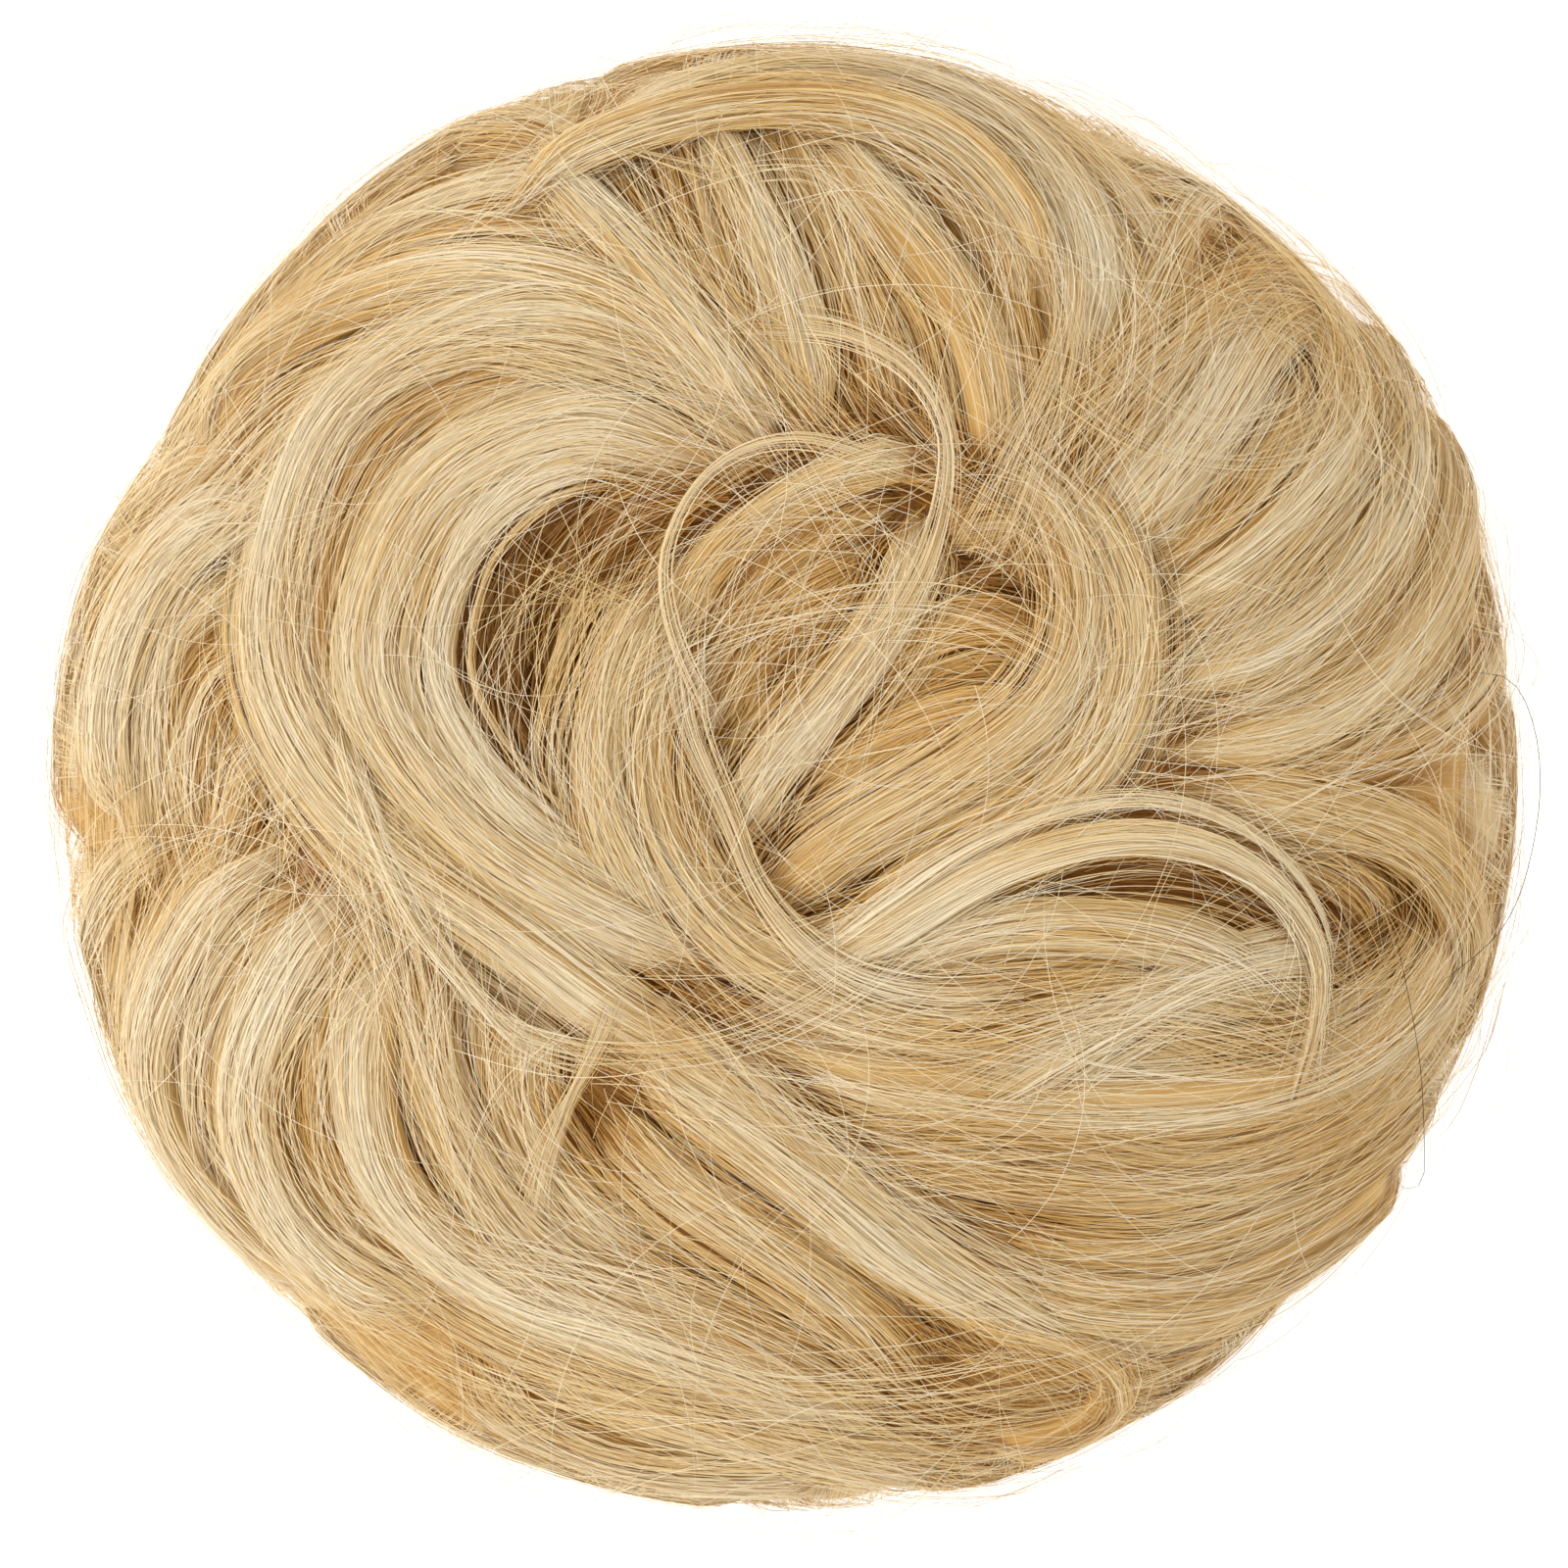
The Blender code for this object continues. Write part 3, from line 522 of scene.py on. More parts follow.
class Graph:
    """A material's nodes, with its Principled shader ready."""

    def __init__(self, name: str) -> None:
        """Makes a new material of this name."""
        self.material = bpy.data.materials.new(name)
        self.material.use_nodes = True
        self.tree = self.material.node_tree
        self.shader = self.tree.nodes["Principled BSDF"]

    def node(self, kind: str, settings: dict[str, object], inputs: dict[int | str, object],
             output: int | str = 0) -> Socket:
        """Adds a node.

        Args:
            kind: The node's type.
            settings: Properties to set first; "stops" sets a ramp's positions and colours.
            inputs: Socket to value or to another node's result.
            output: The output that is wanted.

        Returns:
            That output.
        """
        made = self.tree.nodes.new(kind)
        for name, value in settings.items():
            if name == "stops":
                self._set_stops(made.color_ramp, value)
            else:
                setattr(made, name, value)
        for name, value in inputs.items():
            if isinstance(value, Socket):
                self.tree.links.new(value.output, made.inputs[name])
            else:
                made.inputs[name].default_value = value
        return Socket(self, made.outputs[output])

    @staticmethod
    def _set_stops(ramp: bpy.types.ColorRamp, stops: tuple[tuple[float, "Colour"], ...]) -> None:
        """Gives a ramp these stops.

        Args:
            ramp: A new ramp.
            stops: Positions and colours, in order.
        """
        while len(ramp.elements) < len(stops):
            ramp.elements.new(0.5)
        for element, (position, colour) in zip(ramp.elements, stops):
            element.position = position
            element.color = colour.linear()

    def tone(self) -> Socket:
        """The tone that the mesh carries."""
        return self.node("ShaderNodeAttribute", {"attribute_name": "tone"}, {}, "Fac")

    def stretched(self, along: float, across: float) -> Socket:
        """Places on the combing map, scaled along its two axes."""
        place = self.node("ShaderNodeUVMap", {"uv_map": COMB_MAP}, {})
        return self.node("ShaderNodeVectorMath", {"operation": "MULTIPLY"}, {0: place, 1: (along, across, 1.0)})

    def noise(self, place: Socket, scale: float = 1.0) -> Socket:
        """Flat noise at places on a map."""
        return self.node("ShaderNodeTexNoise", {"noise_dimensions": "2D"},
                         {"Vector": place, "Scale": scale, "Detail": 2.0})

    def ramp(self, stops: tuple[tuple[float, "Colour"], ...], value: Socket) -> Socket:
        """Colour from a value."""
        return self.node("ShaderNodeValToRGB", {"stops": stops}, {"Fac": value})

    def bump(self, strength: float, distance: float, height: Socket) -> None:
        """Feeds the shader's normal from a height."""
        self.feed("Normal", self.node("ShaderNodeBump", {}, {
            "Strength": strength, "Distance": distance, "Height": height}))

    def feed(self, name: str, value: Socket) -> None:
        """Links a result to one of the shader's sockets."""
        self.tree.links.new(value.output, self.shader.inputs[name])

    def fix(self, **constants: object) -> None:
        """Sets constants on the shader's own sockets, named with _ for a space."""
        for name, value in constants.items():
            self.shader.inputs[name.replace("_", " ")].default_value = value


@dataclass(frozen=True)
class Colour:
    """A colour as the eye reads it, each channel from 0 to 1."""

    red: float
    green: float
    blue: float

    def linear(self) -> tuple[float, float, float, float]:
        """The colour in linear light with full alpha."""
        channels = [c / 12.92 if c <= 0.04045 else ((c + 0.055) / 1.055) ** 2.4
                    for c in (self.red, self.green, self.blue)]
        return (*channels, 1.0)


@dataclass(frozen=True)
class BlondeFinish:
    """Blonde fibre, from the honey of the hidden hair, partly painted shade, to pale butter on the crests, partly
    painted light.
    """

    name: str = "blonde_fibre"
    umber: Colour = Colour(0.20, 0.12, 0.07)
    deep: Colour = Colour(0.61, 0.395, 0.135)
    amber: Colour = Colour(0.795, 0.60, 0.315)
    honey: Colour = Colour(0.88, 0.715, 0.425)
    golden: Colour = Colour(0.915, 0.80, 0.57)
    butter: Colour = Colour(0.945, 0.885, 0.755)
    ash: Colour = Colour(0.85, 0.79, 0.69)
    ash_share: float = 0.05
    roughness: float = 0.40
    specular: float = 0.2
    ior: float = 1.5

    def pale_stops(self) -> tuple[tuple[float, Colour], ...]:
        """The ramp from tone to colour above the darkest tones."""
        return (0.26, self.amber), (0.46, self.honey), (0.70, self.golden), (1.0, self.butter)

    def material(self) -> bpy.types.Material:
        """Builds the material of single fibres, which carry their tone as an attribute.

        Returns:
            The material.
        """
        graph = Graph(self.name)
        tone = graph.tone()
        blonde = graph.ramp(((0.0, self.umber), (0.03, self.deep), *self.pale_stops()), tone)
        chance = graph.node("ShaderNodeTexWhiteNoise", {"noise_dimensions": "1D"}, {"W": tone * 977.0})
        graph.feed("Base Color", graph.node("ShaderNodeMix", {"data_type": "RGBA"}, {
            "Factor": chance * tone * self.ash_share, 6: blonde, 7: self.ash.linear()}, 2))
        graph.fix(Roughness=self.roughness, IOR=self.ior, Specular_IOR_Level=self.specular)
        return graph.material


@dataclass(frozen=True)
class CombedFinish(BlondeFinish):
    """The same blonde on a lock's own surface, drawn as fine combed streaks along it."""

    name: str = "combed_fibre"
    roughness: float = 0.46
    fine_streaks: tuple[float, float] = (5.5, 0.05)
    broad_streaks: tuple[float, float] = (1.1, 0.02)
    fine_change: float = 0.4
    broad_change: float = 0.3
    bump: float = 0.6
    bump_height: float = 0.00012

    def material(self) -> bpy.types.Material:
        """Builds the material of a combed surface with streaks along its second map axis.

        Returns:
            The material.
        """
        graph = Graph(self.name)
        fine = graph.noise(graph.stretched(*self.fine_streaks))
        broad = graph.noise(graph.stretched(*self.broad_streaks))
        shifted = graph.tone() + (fine - 0.5) * self.fine_change + (broad - 0.5) * self.broad_change
        graph.feed("Base Color", graph.ramp(((0.0, self.deep), *self.pale_stops()), shifted))
        graph.bump(self.bump, self.bump_height, fine + broad)
        graph.fix(Roughness=self.roughness, IOR=self.ior, Specular_IOR_Level=self.specular)
        return graph.material


@dataclass(frozen=True)
class ElasticFinish:
    """Matte woven cover of the elastic band."""

    name: str = "woven_elastic"
    thread: Colour = Colour(0.72, 0.58, 0.38)
    gap: Colour = Colour(0.42, 0.31, 0.18)
    threads_round: float = 220.0
    threads_across: float = 14.0
    fuzz_scale: float = 1.7
    weave_share: float = 0.6
    bump: float = 0.6
    bump_height: float = 0.0002

    def material(self) -> bpy.types.Material:
        """Builds the woven material on the band's own map.

        Returns:
            The material.
        """
        graph = Graph(self.name)
        spread = graph.stretched(self.threads_round, self.threads_across)
        weave = graph.node("ShaderNodeTexChecker", {}, {"Vector": spread, "Scale": 1.0}, "Fac")
        mixed = weave * self.weave_share + graph.noise(spread, self.fuzz_scale) * (1 - self.weave_share)
        graph.feed("Base Color", graph.ramp(((0.1, self.gap), (0.75, self.thread)), mixed))
        graph.bump(self.bump, self.bump_height, mixed)
        graph.fix(Roughness=0.85, Specular_IOR_Level=0.25)
        return graph.material


def mesh_object(name: str, corners: np.ndarray, faces: tuple[np.ndarray, ...], maps: dict[str, np.ndarray],
                tone: np.ndarray | None, material: bpy.types.Material) -> bpy.types.Object:
    """Makes a smooth shaded mesh object.

    Args:
        name: The object's name.
        corners: Vertices in millimetres, one a row.
        faces: Arrays of vertex numbers, one face a row, each array with its own number of corners.
        maps: UV map name to places, one a row for each corner of each face in order.
        tone: A tone for each vertex, or None.
        material: The material.

    Returns:
        The object, linked to the scene.
    """
    mesh = bpy.data.meshes.new(name)
    mesh.vertices.add(len(corners))
    mesh.vertices.foreach_set("co", (corners * MM).astype(np.float32).ravel())
    loops = np.concatenate([f.ravel() for f in faces])
    sizes = np.concatenate([np.full(len(f), f.shape[1]) for f in faces])
    mesh.loops.add(len(loops))
    mesh.loops.foreach_set("vertex_index", loops.astype(np.int32))
    mesh.polygons.add(len(sizes))
    mesh.polygons.foreach_set("loop_start", np.concatenate([[0], np.cumsum(sizes)[:-1]]).astype(np.int32))
    mesh.polygons.foreach_set("use_smooth", np.ones(len(sizes), dtype=bool))
    for map_name, places in maps.items():
        mesh.uv_layers.new(name=map_name).uv.foreach_set("vector", places.astype(np.float32).ravel())
    mesh.update(calc_edges=True)
    if tone is not None:
        mesh.attributes.new("tone", "FLOAT", "POINT").data.foreach_set("value", tone.astype(np.float32))
    mesh.materials.append(material)
    piece = bpy.data.objects.new(name, mesh)
    bpy.context.scene.collection.objects.link(piece)
    return piece


@dataclass(frozen=True)
class Strands:
    """Many fibres, each a row of points with half widths, tones and a roll away from lying flat."""

    points: np.ndarray
    radius: np.ndarray
    tone: np.ndarray
    roll: np.ndarray


@dataclass(frozen=True)
class StrandMesher:
    """Writes fibres as narrow smooth ribbons, each rolled its own way and with its own cell in the bake map."""

    crown: CrownShape = CrownShape()
    floor: float = 0.12
    cell_margin: float = 0.12
    drift_share: float = 0.05
    drift_length: float = 11.0
    dark_hair: float = 0.05
    least_tone: float = 0.08

    def _drift(self, points: np.ndarray) -> np.ndarray:
        """A slow change of tone from place to place.

        Args:
            points: Points with x and y first on the last axis.

        Returns:
            The change for each.
        """
        x, y = points[..., 0] / self.drift_length, points[..., 1] / self.drift_length
        waves = np.sin(2.1 * x + 1.3 * np.sin(1.7 * y)) + np.sin(2.6 * y + 1.1 * np.sin(2.3 * x + 1.0))
        return self.drift_share * waves

    def _edges(self, strands: Strands) -> np.ndarray:
        """The two edge points of each sample of each fibre.

        Args:
            strands: The fibres.

        Returns:
            An array of points.
        """
        tangent = unit(np.gradient(strands.points, axis=1))
        side = unit(np.cross(tangent, self.crown.normal(strands.points)))
        up = np.cross(side, tangent)
        spread = np.cos(strands.roll)[..., None] * side + np.sin(strands.roll)[..., None] * up
        half = spread * strands.radius[..., None]
        edges = np.stack([strands.points - half, strands.points + half], axis=2)
        edges[..., 2] = np.maximum(edges[..., 2], self.floor)
        return edges

    def _tones(self, strands: Strands) -> np.ndarray:
        """The tone of each edge point. A dark hair keeps its own, and no other goes as low.

        Args:
            strands: The fibres.

        Returns:
            The tones, in the order of the edge points.
        """
        # Painted light and shade from the crown's depth and gaps, plus a slow drift of tone.
        change = self.crown.depth_shade_tone(strands.points) + self._drift(strands.points)
        tone = strands.tone + change * np.clip(4 * strands.tone, 0, 1)
        kept = np.where(strands.tone > self.dark_hair, np.maximum(tone, self.least_tone), tone)
        return np.repeat(kept.reshape(-1), 2)

    def build(self, name: str, groups: list[Strands], material: bpy.types.Material) -> bpy.types.Object:
        """Makes one object of all the fibres.

        Args:
            name: The object's name.
            groups: Fibres; those of a group have as many points each.
            material: Their material.

        Returns:
            The object.
        """
        grid = math.ceil(math.sqrt(sum(len(g.points) for g in groups)))
        size = (1 - 2 * self.cell_margin) / grid
        quads, places = [], []
        vertex, strand = 0, 0
        for group in groups:
            count, samples = group.points.shape[:2]
            edge, step = sheet(1, samples - 1)
            number = np.arange(count)
            quads.append((vertex + number[:, None, None] * samples * 2 + step * 2 + edge).reshape(-1, 4))
            number = strand + number
            low = (np.stack([number % grid, number // grid], axis=-1) + self.cell_margin) / grid
            cell = size * np.stack([edge, step / (samples - 1)], axis=-1)
            places.append((low[:, None, None, :] + cell[None]).reshape(-1, 2))
            vertex += count * samples * 2
            strand += count
        corners = np.vstack([self._edges(g).reshape(-1, 3) for g in groups])
        return mesh_object(name, corners, (np.vstack(quads),), {BAKE_MAP: np.vstack(places)},
                           np.concatenate([self._tones(g) for g in groups]), material)


@dataclass(frozen=True)
class LockSurfaces:
    """The closed, combed surface of each lock, which the loose fibres lie on."""

    shaper: LockShaper = LockShaper()
    sides: int = 14
    section_spacing: float = 3.0
    inset: float = 0.32
    core_width: float = 0.42
    shade: float = 0.10
    ridge: float = 0.08
    floor: float = 0.3
    comb_stretch: float = 2.6
    comb_step: float = 13.0

    def _lock(self, lock: Lock, number: int) -> tuple[np.ndarray, np.ndarray, np.ndarray, np.ndarray]:
        """Builds one lock's surface.

        Args:
            lock: The lock.
            number: Its number, which seeds its ridges.

        Returns:
            Vertices, quads, combing places, and shares round and along for each quad corner.
        """
        random = np.random.default_rng(900 + number)
        path = self.shaper.path(lock)
        count = max(6, round(path.length / self.section_spacing))
        share = np.linspace(0, 1, count + 1)
        centre, normal, side, width, thick = path.at(share)
        angle = np.linspace(0, 2 * math.pi, self.sides, endpoint=False)
        ridge = 1 + random.uniform(-self.ridge, self.ridge, self.sides)[None, :]
        across = np.cos(angle)[None, :] * width[:, None] * self.core_width * ridge
        up = np.sin(angle)[None, :] * (thick[:, None] / 2 - self.inset) * ridge - self.inset
        rings = centre[:, None] + side[:, None] * across[..., None] + normal[:, None] * up[..., None]
        rings[..., 2] = np.maximum(rings[..., 2], self.floor)
        row, column = sheet(count, self.sides)
        quads = row * self.sides + column % self.sides
        shares = np.stack([column / self.sides, share[row]], axis=-1)
        places = shares * [lock.width * self.comb_stretch, path.length] + [number * self.comb_step, 0.0]
        return rings.reshape(-1, 3), quads, places.reshape(-1, 2), shares.reshape(-1, 2)

    def build(self, name: str, locks: tuple[Lock, ...], material: bpy.types.Material) -> bpy.types.Object:
        """Makes one object of the surfaces of several locks.

        Args:
            name: The object's name.
            locks: The locks.
            material: Their material.

        Returns:
            The object.
        """
        grid = math.ceil(math.sqrt(len(locks)))
        corners, quads, ends, combing, cells, tones = [], [], [], [], [], []
        end_combing, end_cells = [], []
        index = np.arange(self.sides)
        ring_place = heading_to(index)
        disc = 0.03 * heading_to(2 * np.pi * index / self.sides)
        first = 0
        for number, lock in enumerate(locks):
            rings, sides, places, shares = self._lock(lock, number)
            corners.append(rings)
            quads.append(sides + first)
            combing.append(places)
            low = np.array([number % grid, number // grid]) / grid
            cells.append(low + (0.02 + 0.96 * shares * np.array([1, 0.9])) / grid)
            ends.append(np.stack([index + first, index[::-1] + first + len(rings) - self.sides]))
            end_combing.append(np.vstack([ring_place, ring_place]) + number * self.comb_step)
            end_cells.append(np.vstack([low + (disc + [0.1, 0.95]) / grid,
                                        low + (disc * [1, -1] + [0.3, 0.95]) / grid]))
            # Painted shade: each lock's own surface is darker than its fibres, plus the crown's painted light and
            # shade.
            tones.append(lock.tone - self.shade + self.shaper.crown.depth_shade_tone(rings))
            first += len(rings)
        maps = {COMB_MAP: np.vstack(combing + end_combing), BAKE_MAP: np.vstack(cells + end_cells)}
        return mesh_object(name, np.vstack(corners), (np.vstack(quads), np.vstack(ends)), maps,
                           np.concatenate(tones), material)


@dataclass(frozen=True)
class CombedLocks:
    """Loose fibres that follow the locks in small clumps and blend them into each other."""

    shaper: LockShaper = LockShaper()
    fibres_per_mm: float = 33.0
    layer_share: tuple[float, ...] = (0.6, 0.95, 1.1, 1.8)
    half_width: tuple[float, float] = (0.033, 0.065)
    sample_spacing: float = 3.9
    spread: float = 1.35
    side_reach: float = 0.60
    widest: float = 1.5
    clumps_per_mm: float = 1.7
    latest_start: float = 0.15
    end_share: float = 0.18
    free_end_share: float = 0.45
    roaming: float = 0.12
    straying: float = 0.05
    pale_share: float = 0.12
    pale_lift: float = 0.32
    least_tone: float = 0.14

    def grow(self, lock: Lock, seed: int, share: float = 1.0) -> Strands:
        """Grows the fibres of one lock.

        Args:
            lock: The lock.
            seed: Seeds its fibres.
            share: Scales how many there are.

        Returns:
            The fibres.
        """
        random = np.random.default_rng(seed)
        path = self.shaper.path(lock)
        count = max(12, round(self.fibres_per_mm * self.layer_share[lock.layer] * lock.width * share))
        samples = max(6, round(path.length / self.sample_spacing)) + 1
        clumps = max(5, round(self.clumps_per_mm * lock.width))
        member = random.integers(0, clumps, count)

        def shared(spread: float) -> np.ndarray:
            """A normal number for each clump, given to each of its fibres."""
            return random.normal(0, spread, (clumps, 1))[member]

        def own(spread: float) -> np.ndarray:
            """A normal number for each fibre."""
            return random.normal(0, spread, (count, 1))

        def some(chance: float) -> np.ndarray:
            """Whether each fibre is one of a few."""
            return random.random((count, 1)) < chance

        steps = np.linspace(0, 1, samples)[None, :]
        late = self.free_end_share if lock.free_end else self.end_share
        start = np.clip(self.latest_start * random.random((clumps, 1))[member] ** 1.5 + np.abs(own(0.04)), 0, 0.45)
        end = np.clip(1 - late * random.random((clumps, 1))[member] ** 1.5 - np.abs(own(0.04)), 0.5, 1)
        along = start + (end - start) * steps
        centre, normal, side, width, thick = path.at(along)

        roams = some(self.roaming)
        gather = 0.35 + 1.1 * np.abs(np.sin(math.pi * (along * shared(0.5) + shared(1.0))))
        place = np.clip(shared(self.side_reach), -self.widest, self.widest)
        place = place + shared(0.20) * (along - 0.5) + own(0.14) * gather
        place = place + shared(0.10) * np.sin(2 * math.pi * (along * (0.9 + shared(0.3)) + shared(1.0)))
        place = place + roams * (own(0.9) * (along - 0.5) + own(0.35))
        crest = np.exp(-0.6 * place ** 2)
        ripple = 0.08 * np.sin(2 * math.pi * (along * path.length / random.uniform(10, 24, (count, 1)) + own(1.0)))
        stray = some(self.straying) * random.uniform(0.3, 1.5, (count, 1)) * np.sin(math.pi * steps)
        rise = np.abs(shared(0.28)) + np.abs(own(0.14)) + roams * np.abs(own(0.3)) + stray
        across = place * width / 2 * self.spread + ripple
        up = 0.88 * thick * (crest - 0.5) + rise
        points = centre + side * across[..., None] + normal * up[..., None]

        pale = self.pale_lift * some(self.pale_share)
        # Painted light and shade: fibres on a lock's crest are paler, those on its sides darker.
        tone = lock.tone + shared(0.08) + own(0.09) + pale + 0.05 - 0.08 * np.abs(place)
        taper = 1 - 0.7 * ease((np.abs(2 * steps - 1) - 0.8) / 0.2)
        radius = random.uniform(*self.half_width, (count, 1)) * taper
        roll = random.uniform(-0.7, 0.7, (count, 1)) + own(0.3) * (steps - 0.5)
        return Strands(points, radius, np.maximum(tone, self.least_tone), roll)


@dataclass(frozen=True)
class RimLocks:
    """Locks that tuck from the widest part of the bun down under it, all round."""

    crown: CrownShape = CrownShape()
    count: int = 22
    width: float = 15.0
    thick: float = 6.0
    start_reach: float = -11.0
    end_reach: float = 33.0
    sweep_deg: float = 26.0
    # Painted light: the rim locks are made paler, as if lit through by the white floor round them.
    tone: tuple[float, float] = (0.72, 0.94)

    def locks(self) -> tuple[Lock, ...]:
        """The locks, evenly spaced, each with its own tone.

        Returns:
            The locks.
        """
        random = np.random.default_rng(31)
        share = np.linspace(0, 1, 5)
        reach = self.crown.radius + self.start_reach + (self.end_reach - self.start_reach) * share
        made = []
        for index in range(self.count):
            turn = np.radians(360.0 * index / self.count - self.sweep_deg * share)
            route = reach[:, None] * heading_to(turn)
            made.append(Lock(f"rim_{index:02d}", self.width, self.thick, 1, random.uniform(*self.tone),
                             tuple(map(tuple, route))))
        return tuple(made)


@dataclass(frozen=True)
class DeepHair:
    """The hair seen between the locks, which runs the way that the nearest locks run."""

    crown: CrownShape = CrownShape()
    count: int = 3000
    reach: float = 71.0
    depth: tuple[float, float] = (3.8, 7.4)
    step: float = 3.8
    samples: int = 11
    half_width: float = 0.065
    blend_reach: float = 4.0
    pale_reach: float = 56.0
    pale_width: float = 14.0
    least_tone: float = 0.12

    def grow(self, locks: list[Lock]) -> Strands:
        """Grows fibres on the padding.

        Args:
            locks: The locks that they follow.

        Returns:
            The fibres.
        """
        random = np.random.default_rng(57)
        routes = [smooth_route(lock.route, 3.0) for lock in locks]
        places = np.vstack(routes)
        ways = np.vstack([unit(np.gradient(route, axis=0)) for route in routes])
        reach = self.reach * np.sqrt(random.random(self.count))
        here = reach[:, None] * heading_to(random.uniform(0, 2 * math.pi, self.count))
        heading = None
        trail = []
        for _ in range(self.samples):
            trail.append(here.copy())
            far = ((here[:, None, :] - places[None]) ** 2).sum(axis=-1)
            pull = np.exp(-far / (2 * self.blend_reach ** 2)) + 1e-12
            if heading is None:
                heading = ways[np.argmin(far, axis=1)]
            agree = np.sign(heading @ ways.T)
            heading = unit(((pull * agree)[..., None] * ways[None]).sum(axis=1) + 1e-9 * heading)
            here = here + heading * self.step
        flat = np.stack(trail, axis=1)
        for _ in range(3):
            flat[:, 1:-1] = 0.5 * flat[:, 1:-1] + 0.25 * (flat[:, :-2] + flat[:, 2:])
        opening = self.crown.opening(flat)
        depth = random.uniform(*self.depth, (self.count, 1)) + opening
        hidden = np.clip(opening / self.crown.opening_depth, 0, 1)
        shallow = (self.depth[1] - depth) / (self.depth[1] - self.depth[0])
        # Painted shade: darker the deeper a fibre lies and over the opening; painted light: paler towards the
        # outline.
        tone = (random.normal(0.30, 0.11, (self.count, 1)) + 0.16 * np.clip(shallow, 0, 1)
                - 0.10 * hidden + 0.34 * ease((reach[:, None] - self.pale_reach) / self.pale_width))
        roll = random.uniform(-0.9, 0.9, (self.count, 1)) + 0 * tone
        return Strands(self.crown.point(flat, depth), np.full(depth.shape, self.half_width),
                       np.maximum(tone, self.least_tone), roll)


@dataclass(frozen=True)
class Wisp:
    """A thin lock or a few hairs lying over the others, as seen from above."""

    name: str
    hairs: int
    width: float
    lift: float
    tone: float
    route: Route
    fineness: float = 1.0


